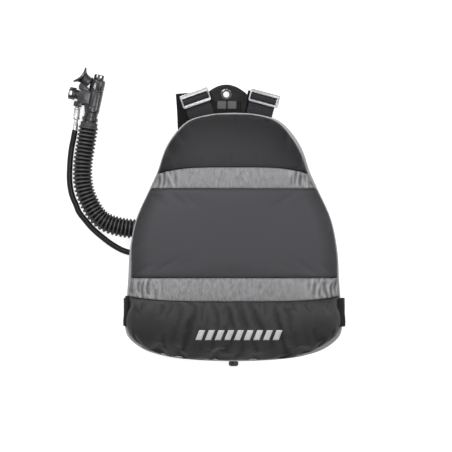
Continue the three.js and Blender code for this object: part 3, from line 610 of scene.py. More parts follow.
def store_painted_shading(piece, shading):
    """Stores the painted shading at each point: how far a piece's colour is darkened for shade or lightened
    for highlights.
    """
    piece.data.attributes.new("painted_shading", "FLOAT", "POINT").data.foreach_set("value", shading)


def make_lp_hose():
    """The thin hose from the coupler to its port fitting."""
    line, length = route(LP_ROUTE, 3.0)
    hose = swept("lp_hose_skin", line, LP_D / 2, HOSE_RUBBER, sides=28, node="lp_hose")
    on_it = [make_lp_fitting(), make_lp_ferrule()]


def make_lp_fitting():
    """Crimped ferrule, hexagon and threaded end with its O-ring groove."""
    end = LP_ROUTE[-1]
    threads = []
    for i in range(8):
        low = 35.2 + i * 1.05
        threads += [(4.7, low), (4.15, low + 0.5)]
    profile = [(0, 0.4), (5.6, 0.4), (5.9, 3), (5.3, 4), (5.9, 5), (5.3, 6), (5.9, 7), (5.7, 19), (4.6, 21),
               (4.6, 24), (7.4, 24.4), (7.4, 33), (4.7, 34), *threads, (3.6, 44), (1.8, 44), (1.8, 38),
               (0, 38)]
    piece = lathe("lp_port_fitting", profile, STEEL, Matrix.Translation(end) @ LAY_Y, soften=0.2,
                  node="lp_end_fitting")
    hexed(piece, Vector(end) * MM, 23.6 * MM, 33.4 * MM, 6.9 * MM)
    return piece


def hexed(piece, origin, low, high, across):
    """Presses a round stretch along Y into a hexagon."""
    for vertex in piece.data.vertices:
        p = vertex.co - origin
        radius = math.hypot(p.x, p.z)
        if low <= p.y <= high and radius > across * 0.9:
            angle = math.atan2(p.z, p.x)
            local = (angle + math.pi / 6) % (math.pi / 3) - math.pi / 6
            reach = min(across / math.cos(local), radius * 1.02)
            vertex.co = origin + Vector((reach * math.cos(angle), p.y, reach * math.sin(angle)))


# ---- Cover shape, as in the CAD ---------------------------------------------------------
EDGE_LINE = catmull(OUTLINE, 600)
EDGE_Y = EDGE_LINE[::-1, 1]
EDGE_X = EDGE_LINE[::-1, 0]


def half_width(y):
    """The cover's half width at Y."""
    return np.interp(y, EDGE_Y, EDGE_X, left=0, right=0)


def width_at(y, k):
    """Half width of the cover's outline shrunk to a share k of its size."""
    return k * half_width(CENTRE_Y + (y - CENTRE_Y) / k)


def share_of(x, y):
    """How far out a point is: 0 at the cover's middle, 1 on its outline."""
    x, y = np.broadcast_arrays(np.asarray(x, float), np.asarray(y, float))
    low = np.maximum(np.abs(y - CENTRE_Y) / HALF_LENGTH, 0.001)
    high = np.full_like(low, 1.3)
    for _ in range(26):
        middle = (low + high) / 2
        inside = width_at(y, middle) < np.abs(x)
        low = np.where(inside, middle, low)
        high = np.where(inside, high, middle)
    return high


def rim_z(y, k):
    """Height of the cover's seam plane, which drops towards the edge and the ends."""
    s = np.minimum(np.abs(y - CENTRE_Y) / HALF_LENGTH, 1)
    return RIM_Z - EDGE_DROP * k ** 4 - END_DROP * s ** 3


def bottom_rise(k):
    """How far the shell's underside lies off the seam plane at share k."""
    return -BOTTOM_DEPTH * np.sqrt(np.maximum(1 - k ** 6, 0))


def top_rise(k):
    """How far the inflated top stands over the seam plane at share k."""
    return TOP_RISE * np.sqrt(np.maximum(1 - k ** 2.6, 0))


def outline_ring(count):
    """The cover's outline as evenly spaced points, once round."""
    right = EDGE_LINE
    left = right[::-1] * (-1, 1)
    loop = np.vstack([right, left[1:-1]])
    return catmull(loop[::6], count + 1, closed=True)[:-1]


def seam_y(seam, across):
    """A seam's Y; across runs from -1 to 1."""
    middle, rise = seam
    return middle + rise * across ** 4


# ---- Cover panels: sewn skins, blown up by a short cloth simulation ---------------------
def fold_noise(x, y, seed):
    """Soft irregular waviness from a few slanted sines."""
    total = np.zeros_like(x)
    for i in range(4):
        a = seed * 1.7 + i * 2.4
        total += np.sin(x * math.cos(a) / (9 + 4 * i) + y * math.sin(a) / (11 + 3 * i) + a * 3)
    return total / 4


EDGE_SHARES = {  # how far out the dark skins reach, by Y, on the left and on the right
    -1: [(-96, 0.995), (-84, 0.992), (-62, 0.982), (-40, 0.98), (-28, 0.988), (40, 0.988), (62, 0.972),
         (92, 0.974), (125, 0.99), (225, 0.992), (300, 0.99), (350, 0.988), (372, 0.992), (380, 0.994)],
    1: [(-96, 0.994), (-86, 0.988), (-66, 0.97), (-40, 0.974), (-26, 0.988), (50, 0.99), (66, 0.986),
        (200, 0.992), (232, 0.99), (255, 0.974), (300, 0.966), (335, 0.968), (352, 0.976), (368, 0.988),
        (380, 0.993)],
}


def edge_share(across, y):
    """How far out the skins reach, blended from side to side."""
    left, right = (np.interp(y, *zip(*EDGE_SHARES[side])) for side in (-1, 1))
    mix = np.clip(0.5 + np.asarray(across, float) / 2, 0, 1)
    return left * (1 - mix) + right * mix


def panel_grid(low, high, seam, columns, rows):
    """x, y and the 0..1 places of a panel between two seam lines; None is a cover end."""
    u = np.linspace(0, 1, columns + 1)[None, :]
    v = np.linspace(0, 1, rows + 1)[:, None]
    across = np.sin((u - 0.5) * math.pi * 0.94) / math.sin(0.47 * math.pi) + 0 * v
    reach = seam * HALF_LENGTH - 0.6
    inset = SEAM - seam if seam < SEAM else 0.0
    if low is None:
        base = seam_y(high, across)
        y = base + (CENTRE_Y - reach - base) * np.sin(v[::-1] * math.pi / 2)
    elif high is None:
        base = seam_y(low, across)
        y = base + (CENTRE_Y + reach - base) * np.sin(v * math.pi / 2)
    else:
        y = seam_y(low, across) * (1 - v) + seam_y(high, across) * v
    x = across * width_at(y, edge_share(across, y) - inset)
    return x, y, across, v + 0 * u


def panel_bulge(x, y, v, across, tuck, pillow):
    """Height a skin gains over the plain crown: pillow in the middle, tucked at its seams."""
    ends = np.clip((edge_share(across, y) - share_of(x, y)) / 0.06, 0, 1)
    near = np.minimum(v, 1 - v) * panel_span(y)
    edge = np.clip(near / 9.0, 0, 1)
    swell = np.sin(np.clip(v, 0, 1) * math.pi) ** 0.6
    rolled = np.clip((edge_share(across, y) - share_of(x, y)) / 0.018, 0, 1)
    dip = tuck * (1 - edge) ** 2 * np.clip(ends * 2, 0, 1) + 3.0 * (1 - rolled) ** 2
    return pillow * swell * ends ** 0.7 - dip


def make_panel(name, low, high, seam, material, columns, rows, tuck, pillow, folds, shading, cloth):
    """One sewn skin between two seam lines."""
    x, y, across, v = panel_grid(low, high, seam, columns, rows)
    calm = np.clip((edge_share(across, y) - share_of(x, y)) / 0.03, 0, 1)
    k = np.minimum(share_of(x, y), 1)
    crown = rim_z(y, k) + top_rise(k)
    z = crown + panel_bulge(x, y, v, across, tuck, pillow) + folds(x, y, across, v) * calm
    points = np.column_stack([x.ravel(), y.ravel(), z.ravel()])
    skin = make(name + "_skin", points, grid_faces(rows + 1, columns + 1), material, shift=COVER_X, node=name)
    inflate(skin, rows + 1, columns + 1, **cloth)
    add_painted_shading(skin, x, y, across, v, *shading)
    thicken(skin, 1.7, -1)
    subdivide(skin)
    return skin


def panel_span(y):
    """A panel's height at its middle."""
    middle = y.shape[1] // 2
    return np.abs(y[-1, middle] - y[0, middle])


def add_painted_shading(skin, x, y, across, v, crease, rim, reach, top, calm):
    """Stores the skin's painted shading: painted shade in its creases, towards its rim and its seams, darker
    towards the top, and a painted highlight on ridges.
    """
    z = np.array([vertex.co.z for vertex in skin.data.vertices]).reshape(x.shape) / MM
    evened = z.copy()
    for _ in range(5):
        padded = np.pad(evened, 1, mode="edge")
        evened = (padded[1:-1, 1:-1] * 2 + padded[:-2, 1:-1] + padded[2:, 1:-1]
                  + padded[1:-1, :-2] + padded[1:-1, 2:]) / 6
    depth = np.clip((evened - z) / 0.4, -1, 1)
    out = np.clip(1 - (edge_share(across, y) - share_of(x, y)) / reach, 0, 1)
    seam = np.clip(1 - np.minimum(v, 1 - v) * panel_span(y) / 6, 0, 1)
    crease = crease * (1 - calm * (1 - np.clip((np.abs(across) - 0.6) / 0.2, 0, 1)))
    painted_shading = 1 - crease * (np.maximum(depth, 0) + 0.6 * np.minimum(depth, 0))
    painted_shading -= rim * out ** 1.2 + 0.14 * seam ** 2 + top * v ** 2
    store_painted_shading(skin, painted_shading.ravel())


def add_modifier(piece, kind, **values):
    """Adds one modifier and bakes it into the mesh."""
    modifier = piece.modifiers.new(kind.lower(), kind)
    for key, value in values.items():
        setattr(modifier, key, value)
    bpy.context.view_layer.objects.active = piece
    piece.select_set(True)
    bpy.ops.object.modifier_apply(modifier=modifier.name)
    piece.select_set(False)


def thicken(piece, thickness, offset):
    """Gives a skin its thickness in millimetres; offset -1 puts it underneath."""
    add_modifier(piece, "SOLIDIFY", thickness=thickness * MM, offset=offset)


def subdivide(piece):
    """Smooths a skin once."""
    add_modifier(piece, "SUBSURF", levels=1, render_levels=1)


def inflate(piece, rows, columns, pressure, slack, cap, frames=20):
    """Blows the skin up against its sewn borders and keeps the small creases this makes."""
    mesh = piece.data
    before = np.empty(len(mesh.vertices) * 3)
    mesh.vertices.foreach_get("co", before)
    border = [j * columns + i for j in range(rows) for i in range(columns)
              if j in (0, rows - 1) or i in (0, columns - 1)]
    piece.vertex_groups.new(name="sewn").add(border, 1.0, "REPLACE")
    modifier = piece.modifiers.new("cloth", "CLOTH")
    settings = modifier.settings
    settings.quality = 6
    settings.mass = 0.25
    settings.tension_stiffness = 18
    settings.compression_stiffness = 18
    settings.shear_stiffness = 6
    settings.bending_stiffness = 0.35
    settings.use_pressure = True
    settings.uniform_pressure_force = pressure
    settings.shrink_min = -slack
    settings.vertex_group_mass = "sewn"
    settings.effector_weights.gravity = 0
    modifier.point_cache.frame_start = 1
    modifier.point_cache.frame_end = frames
    scene = bpy.context.scene
    for number in range(1, frames + 1):
        scene.frame_set(number)
    depsgraph = bpy.context.evaluated_depsgraph_get()
    blown = piece.evaluated_get(depsgraph).to_mesh()
    after = np.empty(len(blown.vertices) * 3)
    blown.vertices.foreach_get("co", after)
    piece.evaluated_get(depsgraph).to_mesh_clear()
    piece.modifiers.remove(modifier)
    scene.frame_set(1)
    move = (after - before).reshape(-1, 3)
    length = np.linalg.norm(move, axis=1)[:, None]
    move *= cap * MM / np.maximum(length, cap * MM)
    mesh.vertices.foreach_set("co", (before.reshape(-1, 3) + move).ravel())
    mesh.update()
    print(f"{piece.name}: cloth moved {length.mean() / MM:.1f} mm mean, {length.max() / MM:.1f} mm most")


def ridged(value):
    """A crease profile: broad rounded ridges with narrow valleys, from -1 to 1."""
    return 1 - 2 * np.abs(np.sin(value / 2)) ** 0.7


def dome_folds(x, y, across, v):
    """Long creases run up the dome's sides from the band's ends, and down from the shoulders."""
    near = np.clip(1 - v / 0.9, 0, 1) ** 0.8
    out = np.clip((np.abs(across) - 0.62) / 0.3, 0, 1)
    crease = ridged(x / 5.4 - np.sign(across) * y / 17 + 1.3 * np.sin(y / 26))
    shoulder = np.clip((v - 0.72) / 0.28, 0, 1) * np.sin(x / 9 + 0.8 * np.sin(y / 9))
    return 0.6 * fold_noise(x, y, 2.2) + 2.0 * near * out * crease + 0.9 * shoulder


def middle_folds(x, y, across, v):
    """The middle panel is taut, with small puckers at its corners."""
    near = np.clip(1 - np.minimum(v, 1 - v) / 0.12, 0, 1)
    out = np.clip((np.abs(across) - 0.5) / 0.35, 0, 1)
    return 0.3 * fold_noise(x, y, 3.1) + 0.6 * near * out * np.sin(x / 6.0 + y / 19)


def band_folds(x, y, across, v):
    """The mesh is gathered towards both ends of a band."""
    out = np.clip((np.abs(across) - 0.66) / 0.26, 0, 1) ** 0.8
    drift = 2.6 * fold_noise(x * 1.7, y * 1.7, 9.0)
    gathers = ridged(x / 3.4 - np.sign(across) * y / 11 + drift)
    small = np.sin(x / 1.9 + 1.4 * drift)
    body = np.sin(np.clip(v, 0, 1) * math.pi)
    middle = 0.1 * np.sin(x / 3.1 + 1.5 * np.sin(x / 31) + drift) * (1 - out)
    return (3.0 * gathers + 0.9 * small) * out * (0.45 + 0.55 * body) + middle * body


def pouch_folds(x, y, across, v):
    """Soft folds hang from the seam in the middle of the pouch."""
    fade = np.sin(np.clip((1 - v) / 0.66, 0, 1) * math.pi) ** 0.6
    middle = np.exp(-(np.abs(across) / 0.62) ** 4)
    runs = x + 6.0 * np.sin(y / 19 + x / 50)
    folds = ridged(runs / 5.2 + 0.9 * np.sin(x / 34)) + 0.5 * np.sin(runs / 3.9 + 1)
    hem = np.exp(-((v - 0.16) / 0.09) ** 2) * ridged(x / 15 + 2 * np.sin(x / 47))
    ends = np.clip((np.abs(across) - 0.62) / 0.3, 0, 1) * ridged(x / 7 - np.sign(across) * y / 9)
    flat = 1 - 0.85 * np.exp(-(x / 88) ** 6 - ((y + 44) / 17) ** 4)
    return (1.8 * folds * middle * fade + 0.5 * hem + 0.9 * ends + 0.7 * fold_noise(x, y, 5.2)) * flat


def make_cover_top():
    """The five skins; their painted shading is crease shade, rim shade, its reach, darkening to the top, calm
    middle.
    """
    soft = {"pressure": 4.0, "slack": 0.003, "cap": 6.0}
    net = {"pressure": 2.5, "slack": 0.004, "cap": 5.0}
    taut = {"pressure": 4.0, "slack": 0.001, "cap": 6.0}
    loose = {"pressure": 4.0, "slack": 0.022, "cap": 7.0}
    mesh_shading = (0.5, 0.25, 0.1, 0, 0.75)
    return [
        make_panel("upper_panel", DOME_SEAM, None, SEAM, CHARCOAL, 88, 40, 2.6, 1.5, dome_folds,
                   (0.2, 0.74, 0.34, 0.14, 0.6), soft),
        make_panel("upper_mesh_band", BAND_LOW, DOME_SEAM, BAND_SEAM, MESH, 150, 20, 1.6, 0.4, band_folds,
                   mesh_shading, net),
        make_panel("middle_panel", LOWER_SEAM, BAND_LOW, SEAM, GRAPHITE, 104, 48, 3.0, 2.0, middle_folds,
                   (0.05, 0.62, 0.17, 0, 0), taut),
        make_panel("lower_mesh_band", POUCH_SEAM, LOWER_SEAM, BAND_SEAM, MESH, 170, 22, 1.6, 0.4, band_folds,
                   mesh_shading, net),
        make_panel("lower_pouch_panel", None, POUCH_SEAM, SEAM, POUCH, 120, 44, 2.6, 1.8, pouch_folds,
                   (0.34, 0.3, 0.12, 0, 0), loose),
    ]


def ring_shell(sections, ring):
    """Rows of points round the cover for (share, rise) sections."""
    points = []
    for k, rise in sections:
        for x, y in ring:
            across, along = k * x, CENTRE_Y + k * (y - CENTRE_Y)
            points.append((across, along, rim_z(along, k) + rise))
    return points


def make_front_cover():
    """The light grey shell under and round the rim, with its two port holes."""
    ring = outline_ring(260)
    shares = [0.03, 0.12, 0.22, 0.32, 0.42, 0.52, 0.6, 0.68, 0.75, 0.81, 0.86, 0.9, 0.93, 0.955, 0.975, 0.988]
    sections = [(k, float(bottom_rise(k))) for k in shares]
    sections += [(0.997, -2.6), (1.0, 0.5), (0.998, 3.0), (0.993, 4.4), (0.984, 4.6), (0.972, 4.4),
                 (0.958, 3.6), (0.944, 2.2)]
    points = ring_shell(sections, ring)
    hub = len(points)
    points.append((0, CENTRE_Y, RIM_Z - BOTTOM_DEPTH))
    faces = grid_faces(len(sections), len(ring), True)
    faces += [(hub, (i + 1) % len(ring), i) for i in range(len(ring))]
    points = np.array(points)
    x, y, z = points.T
    pucker = 0.8 * fold_noise(x, y, 6.0) * np.clip((share_of(x, y) - 0.2) * 3, 0, 1)
    points[:, 2] += np.where(z < RIM_Z - 4, pucker + 0.6, 0)
    holes = [(ELBOW.x - COVER_X, ELBOW.y, 15.0), (VALVE.x - COVER_X, VALVE.y, 13.0)]
    kept = []
    for face in faces:
        middle = points[list(face)].mean(axis=0)
        bored = any(math.hypot(middle[0] - hx, middle[1] - hy) < r for hx, hy, r in holes)
        if not (bored and middle[2] < RIM_Z):
            kept.append(face)
    shell = make("front_cover_skin", points, kept, LINING, shift=COVER_X, node="front_cover")
    thicken(shell, 1.3, -1)


def make_bladder():
    """The air cell, a closed pillow inside the cover."""
    ring = outline_ring(90)
    sections = [(k, float(bottom_rise(k)) + 8) for k in (0.02, 0.3, 0.5, 0.8, 0.9)] + [(0.93, 6)]
    sections += [(k, float(top_rise(k)) - 8) for k in (0.9, 0.75, 0.5, 0.25, 0.02)]
    bladder = make("air_bladder", ring_shell(sections, ring), tube_faces(len(sections), len(ring)), BLADDER,
                   shift=COVER_X, node="air_cell")


# ---- Seams: stitches laid on the finished skins -----------------------------------------
def surface_of(*pieces):
    """A function giving the highest point and normal of these pieces under x, y (mm)."""
    trees = []
    for piece in pieces:
        mesh = piece.data
        trees.append(BVHTree.FromPolygons([v.co for v in mesh.vertices], [p.vertices for p in mesh.polygons]))

    def drop(x, y):
        best = None
        for tree in trees:
            hit, normal, _, _ = tree.ray_cast(Vector((x * MM, y * MM, 0.2)), Vector((0, 0, -1)))
            if hit is not None and (best is None or hit.z > best[0].z):
                best = (hit / MM, normal)
        return best
    return drop


def stitch_row(name, line, drop, slot, pitch=4.2, length=2.7, thick=0.75):
    """Short raised stitches along a plan line, lying on the surface below."""
    line = np.asarray(line, float)[:, :2]
    run = run_of(line)
    bulges = ((0.0, 0.35, -0.25), (0.2, 1.0, 0.2), (0.5, 1.1, 0.3), (0.8, 1.0, 0.2), (1.0, 0.35, -0.25))
    sides = 6
    points, faces = [], []
    for s in np.arange(pitch, run[-1] - pitch / 2, pitch):
        ends = [[np.interp(s + d, run, column) for column in line.T] for d in (-length / 2, length / 2)]
        hits = [drop(*end) for end in ends]
        if None in hits:
            continue
        (a, na), (b, nb) = hits
        up = (na + nb).normalized()
        side = (b - a).normalized().cross(up).normalized()
        base = len(points)
        for t, fat, lift in bulges:
            centre = a.lerp(b, t) + up * (thick * lift)
            for i in range(sides):
                angle = 2 * math.pi * i / sides
                points.append(centre + (side * math.cos(angle) + up * math.sin(angle)) * thick * 0.5 * fat)
        faces += [tuple(base + i for i in face) for face in tube_faces(len(bulges), sides)]
    make(name, points, faces, THREAD, slot=slot)


def seam_line(seam, share, offset, count=240, reach=0.965):
    """Plan points along a seam, offset along Y."""
    across = np.linspace(-reach, reach, count)
    y = seam_y(seam, across) + offset
    return np.column_stack([COVER_X + across * width_at(y, share), y])


def make_seams(skins):
    """Stitch rows along the seams and round the rim."""
    top = surface_of(*skins)
    rows = (("dome_seam", DOME_SEAM, 3.2, "charcoal_fabric"),
            ("band_high_seam", BAND_LOW, -3.2, "graphite_fabric"),
            ("middle_seam", LOWER_SEAM, 3.4, "graphite_fabric"),
            ("pouch_seam", POUCH_SEAM, -3.4, "pouch_fabric"),
            ("pouch_seam_second", POUCH_SEAM, -7.2, "pouch_fabric"))
    for name, seam, offset, slot in rows:
        stitch_row(name + "_stitches", seam_line(seam, SEAM, offset), top, slot)
    ring = outline_ring(420)
    rim = []
    for x, y in np.vstack([ring, ring[:1]]):
        k = float(edge_share(np.sign(x), y)) - 0.016
        rim.append((COVER_X + k * x, CENTRE_Y + k * (y - CENTRE_Y)))
    stitch_row("rim_stitches", rim, top, "charcoal_fabric")


def make_side_tabs():
    """Wide webbing tabs that wrap the cover's side edges over the belt's folds."""
    section = [(0.94, float(bottom_rise(0.94)) - 1.4, 0), (0.975, float(bottom_rise(0.975)) - 1.6, 0.5),
               (0.995, -4.5, 1.5), (1.0, -1.0, 2.6), (1.0, 2.5, 2.6), (0.997, 5.6, 1.8), (0.99, 8.2, 0.9),
               (0.982, 10.2, 0.2), (0.974, 11.6, 0)]
    section = catmull(section, 26)
    for side, sign, low, high, wide in (("left", -1, -28.5, 30, 0.9), ("right", 1, -29.5, 25.5, 1.9)):
        points, along = [], []
        ys = np.linspace(low, high, 16)
        for i, (k, rise, off) in enumerate(section):
            for y in ys:
                points.append((sign * (float(width_at(y, k)) + off * wide), y, float(rim_z(y, k)) + rise))
                along.append((i * 2.0, (y - (low + high) / 2) * 0.84, 0))
        tab = make(f"side_tab_{side}", points, grid_faces(len(section), len(ys)), BLACK_WEB, along=along,
                   shift=COVER_X)
        thicken(tab, 1.6, 0)
        subdivide(tab)


def make_reflective_bars(drop):
    """A plain row of slanted light bars sewn on the pouch."""
    bars, pitch, wide, tall, slant = 9, 18.4, 11.5, 19, 7.5
    rows, columns = 9, 5
    points, faces = [], []
    for i in range(bars):
        base = len(points)
        for t in np.linspace(0, 1, rows):
            for w in np.linspace(0, 1, columns):
                hit, normal = drop(-70 + i * pitch + wide * w + slant * t, -54 + tall * t)
                points.append(hit + normal * 0.35)
        faces += [tuple(base + n for n in face) for face in grid_faces(rows, columns)]
    thicken(make("pouch_reflective_bars", points, faces, LABEL), 0.5, -1)


# ---- Webbing ------------------------------------------------------------------------
def plan_bend(lengths, bend):
    """Where a strap's middle runs in plan, and its heading; bend lists (along, degrees)."""
    table = np.linspace(lengths.min(), lengths.max(), 400)
    heading = np.radians(np.interp(table, *zip(*(bend or [(0, 0)]))))
    step = np.gradient(table)
    x = table[0] + np.concatenate([[0], np.cumsum(np.cos(heading[:-1]) * step[:-1])])
    y = np.concatenate([[0], np.cumsum(np.sin(heading[:-1]) * step[:-1])])
    return [np.interp(lengths, table, column) for column in (x, y, heading)]


def ribbon(name, profile, matrix, material, bend=None, **marks):
    """Flat webbing: profile is (along, z) of its middle line; matrix places it."""
    rough = catmull(profile, 400)
    line = catmull(profile, int(run_of(rough)[-1] / 2.2) + 2)
    tangent = np.gradient(line, axis=0)
    tangent /= np.linalg.norm(tangent, axis=1)[:, None]
    normal = np.column_stack([-tangent[:, 1], tangent[:, 0]])
    half, t = WEB / 2, WEB_SKIN / 2
    right = [(half * f, t) for f in (0.2, 0.6)]
    right += [(half - 1.4, t), (half - 0.35, t * 0.75), (half, t * 0.2)]
    top = [(-w, h) for w, h in right[::-1]] + right
    section = top + [(-w, -h) for w, h in top]
    points, along = [], []
    plan_x, plan_y, heading = plan_bend(line[:, 0], bend)
    for p, n, s, px, py, turn in zip(line, normal, run_of(line), plan_x, plan_y, heading):
        for w, h in section:
            q = n * (h + 0.12 * math.sin(s / 13 + w / 9))
            reach = px + q[0] * math.cos(turn) - w * math.sin(turn)
            aside = py + q[0] * math.sin(turn) + w * math.cos(turn)
            points.append(matrix @ Vector((reach, aside, p[1] + q[1])))
            along.append((s, w, h))
    return make(name, points, tube_faces(len(line), len(section)), material, along=along, **marks)


def strap_matrix(x, y, turn):
    """Lays a profile along +Y, turned about its own origin at x, y."""
    return Matrix.Translation((x, y, 0)) @ Matrix.Rotation(math.radians(90 + turn), 4, "Z")


def box_stitch(name, drop, matrix, width, length, slot):
    """A stitched box with its cross, in the strap's own plane."""
    w, h = width / 2, length / 2
    corners = [(-h, -w), (h, -w), (h, w), (-h, w), (-h, -w), (h, w), (h, -w), (-h, w)]
    line = [matrix @ Vector((a, b, 0)) for a, b in corners]
    dense = []
    for a, b in zip(line, line[1:]):
        steps = max(int((b - a).length), 2)
        dense += [tuple(a.lerp(b, i / steps))[:2] for i in range(steps)]
    dense.append(tuple(line[-1])[:2])
    stitch_row(name, dense, drop, slot, pitch=2.7, length=2.0, thick=0.6)


BACK_STRAP = [
    (-96, 19), (-60, 19), (-30, 19.4), (-12, 20.2), (-6.7, 21.1), (-2, 23), (0, 23.4), (2, 23), (5.5, 20.6),
    (9, 18.6), (10.5, 16.6), (8.5, 14.9), (4, 14.5), (-22, 14.5),
]
SLOT_Y = 74.0
SLOT_X = {"left": -70, "right": 56, "spine": -8}
FRONT_STRAP = [
    (101, 13.1), (84, 12.4), (78, 12.2), (75.1, 11.3), (74, 8.8), (75.1, 6.3), (78, 5.3), (86, 5.1), (93, 4),
    (110, 1.25), (200, 1.25), (350, 1.75), (378, 4), (400, 8.6), (413, 10.4), (418, 10.2), (419.5, 8),
    (417, 6), (400, 4.2),
]
SPINE_STRAP = [
    (104, 5.1), (86, 5.1), (78, 5.3), (75.1, 6.3), (74, 8.8), (75.1, 11.3), (78, 12.2), (88, 13), (120, 17),
    (150, 18), (260, 18), (310, 14.2), (330, 13.9), (404, 13.9),
]


def belt_half(fold, end):
    """One side of the belt's profile: out and up under the cover, folded there, and back along the floor."""
    return [
        (0, 12.3), (35, 12.3), (64, 12.3), (78, 15.5), (91, 27), (106, 32), (130, 32.5), (164, 31),
        (187, 31), (fold - 9, 30.6), (fold - 3, 27.5), (fold - 1.3, 20), (fold - 2, 9), (fold - 7, 2.8),
        (fold - 15, 1.25), (end, 1.25),
    ]


def make_straps():
    """Shoulder, spine and waist webbing, and the loops that keep the belt's folds."""
    for side, (x, y, turn) in SLIDES.items():
        matrix = strap_matrix(x, y, turn)
        strap = ribbon(f"back_strap_{side}_webbing", BACK_STRAP, matrix, GREY_WEB, node=f"back_strap_{side}")
        box_stitch(f"back_strap_{side}_box", surface_of(strap), matrix @ Matrix.Translation((-30, 0, 0)),
                   40, 16, "grey_webbing")
    bends = {"left": [(290, 0), (345, 3)], "right": [(214, 0), (240, 10), (285, 10), (332, -14)]}
    for name, side, turn, strap in (("front_strap_left", "left", 2, FRONT_STRAP),
                                    ("front_strap_right", "right", -0.8, FRONT_STRAP),
                                    ("spine_strap", "spine", 0, SPINE_STRAP)):
        profile = [(a - SLOT_Y, z) for a, z in strap]
        ribbon(name + "_webbing", profile, strap_matrix(SLOT_X[side], SLOT_Y, turn), BLACK_WEB,
               bends.get(side), node=name)
    left = [(-x, z) for x, z in belt_half(208.5, 168)][::-1]
    ribbon("waist_belt_webbing", left + belt_half(217, 105)[1:], Matrix(), BLACK_WEB, node="waist_belt")
    turned = Matrix(((0, 0, 1, 0), (1, 0, 0, 0), (0, 1, 0, 0), (0, 0, 0, 1)))
    outer = rounded_rect(58, 8.6, 2.6, cy=LOOP_Z)
    inner = rounded_rect(53.6, 4.2, 1.6, cy=LOOP_Z)
    for side, sign in (("left", -1), ("right", 1)):
        slab(f"belt_loop_{side}_webbing", outer, -8, 8, BLACK_WEB,
             Matrix.Translation((sign * LOOP_X, 0, 0)) @ turned, bevel=0.5, holes=[inner],
             node=f"belt_loop_{side}")


# ---- Shoulder plate, pads and steel hardware --------------------------------------------
def quad(a, b, c, steps=10):
    """Points along a quadratic curve, without its first."""
    out = []
    for i in range(1, steps + 1):
        t = i / steps
        out.append(tuple((1 - t) ** 2 * p + 2 * t * (1 - t) * q + t * t * r for p, q, r in zip(a, b, c)))
    return out


def make_shoulder_plate():
    """The yoke with its stitches, two plain patches and the worn hanging eyelet."""
    outline = [(-32, -66), (32, -66), (36, -46), (41.5, -14)]
    outline += quad((41.5, -14), (43, -4), (34, 1)) + quad((34, 1), (0, 28), (-34, 1), 20)
    outline += quad((-34, 1), (-43, -4), (-41.5, -14)) + [(-36, -46)]
    hole = arc(0, -4.5, 8.3, 0, 360, 32)[:-1]
    place = Matrix.Translation((PLATE_X, PLATE_Y, PLATE_Z))
    plate = slab("shoulder_plate_cover", outline, 0, 3, PLATE, place, bevel=1.0, holes=[hole],
                 node="shoulder_plate")
    inset = [(PLATE_X + 0.91 * x, PLATE_Y - 20 + 0.92 * (y + 20)) for x, y in outline[1:-1]]
    stitch_row("shoulder_plate_stitches", inset, surface_of(plate), "plate_plastic", pitch=3.4, length=2.3,
               thick=0.65)
    for i, x in enumerate((-19.6, 0.2)):
        patch = slab(f"shoulder_patch_{i}", rounded_rect(17, 15, 2.2), 0, 0.8, PATCH,
                     Matrix.Translation((x, 396.2, 15.05)), bevel=0.3)
        around = rounded_rect(14, 12, 1.4, cx=x, cy=396.2)
        stitch_row(f"shoulder_patch_stitches_{i}", around + around[:1], surface_of(patch), "grey_webbing",
                   pitch=2.6, length=1.8, thick=0.55)
    ring = [(5.9, 0), (7.9, 0), (7.9, 3.4), (11.5, 3.4), (11.3, 4.1), (9.3, 4.7), (7, 4.7), (5.9, 3.9),
            (5.9, 0)]
    lathe("shoulder_grommet", ring, DARK_STEEL, Matrix.Translation((PLATE_X, EYELET_Y, 9.3)), soften=0.4,
          node="shoulder_eyelet")
    for i, (start, end) in enumerate(((28, 62), (74, 92), (104, 140))):
        line = [(px, py, 14.0) for px, py in arc(PLATE_X, EYELET_Y, 9.3, start, end, 12)]
        swept(f"grommet_worn_edge_{i}", line, 0.75, STEEL, sides=10)


def make_pads():
    """The two foam pads; the lumbar pad has holes over the screws."""
    screws = [arc(x, -18, 8, 0, 360, 24)[:-1] for x in SCREW_X]
    pads = (("shoulder_pad", -10, 356, 62, 14, 3, 8.9, []), ("lumbar_pad", 0, 18, 120, 12, 0, 7, screws))
    for name, x, y, wide, radius, low, high, holes in pads:
        pad = slab(name + "_foam", rounded_rect(wide, 84, radius), low, high, FOAM,
                   Matrix.Translation((x, y, 0)), bevel=1.8, holes=holes, node=name)


def make_slides():
    """Two bars joined by short legs; each outer frame is (width, height, its middle's X and Y)."""
    frames = {"left": (57, 26.4, 0, 1.0), "right": (58.6, 24.5, 1.4, 0.8)}
    for side, place in SLIDES.items():
        place = stand(place[0], place[1], 0, place[2])
        wide, tall, out, up = frames[side]
        parts = [("frame", rounded_rect(wide, tall, 3.5, cx=out, cy=up), 23, 26.5, 1.0,
                  [rounded_rect(wide - 5.6, 13.4, 1.2, cx=out)]),
                 ("bar", rounded_rect(52.6, 3.2, 1.0), 19, 21.4, 0.5, [])]
        parts += [(f"leg_{i}", rounded_rect(2.8, 13.4, 1.0, cx=x), 19, 23.4, 0.5, [])
                  for i, x in enumerate((-26.6, 26.6))]
        for name, outline, low, high, bevel, holes in parts:
            slab(f"slide_{side}_{name}", outline, low, high, SATIN_STEEL, place, bevel=bevel, holes=holes,
                 node=f"shoulder_slide_{side}")
        knurl(side, place)


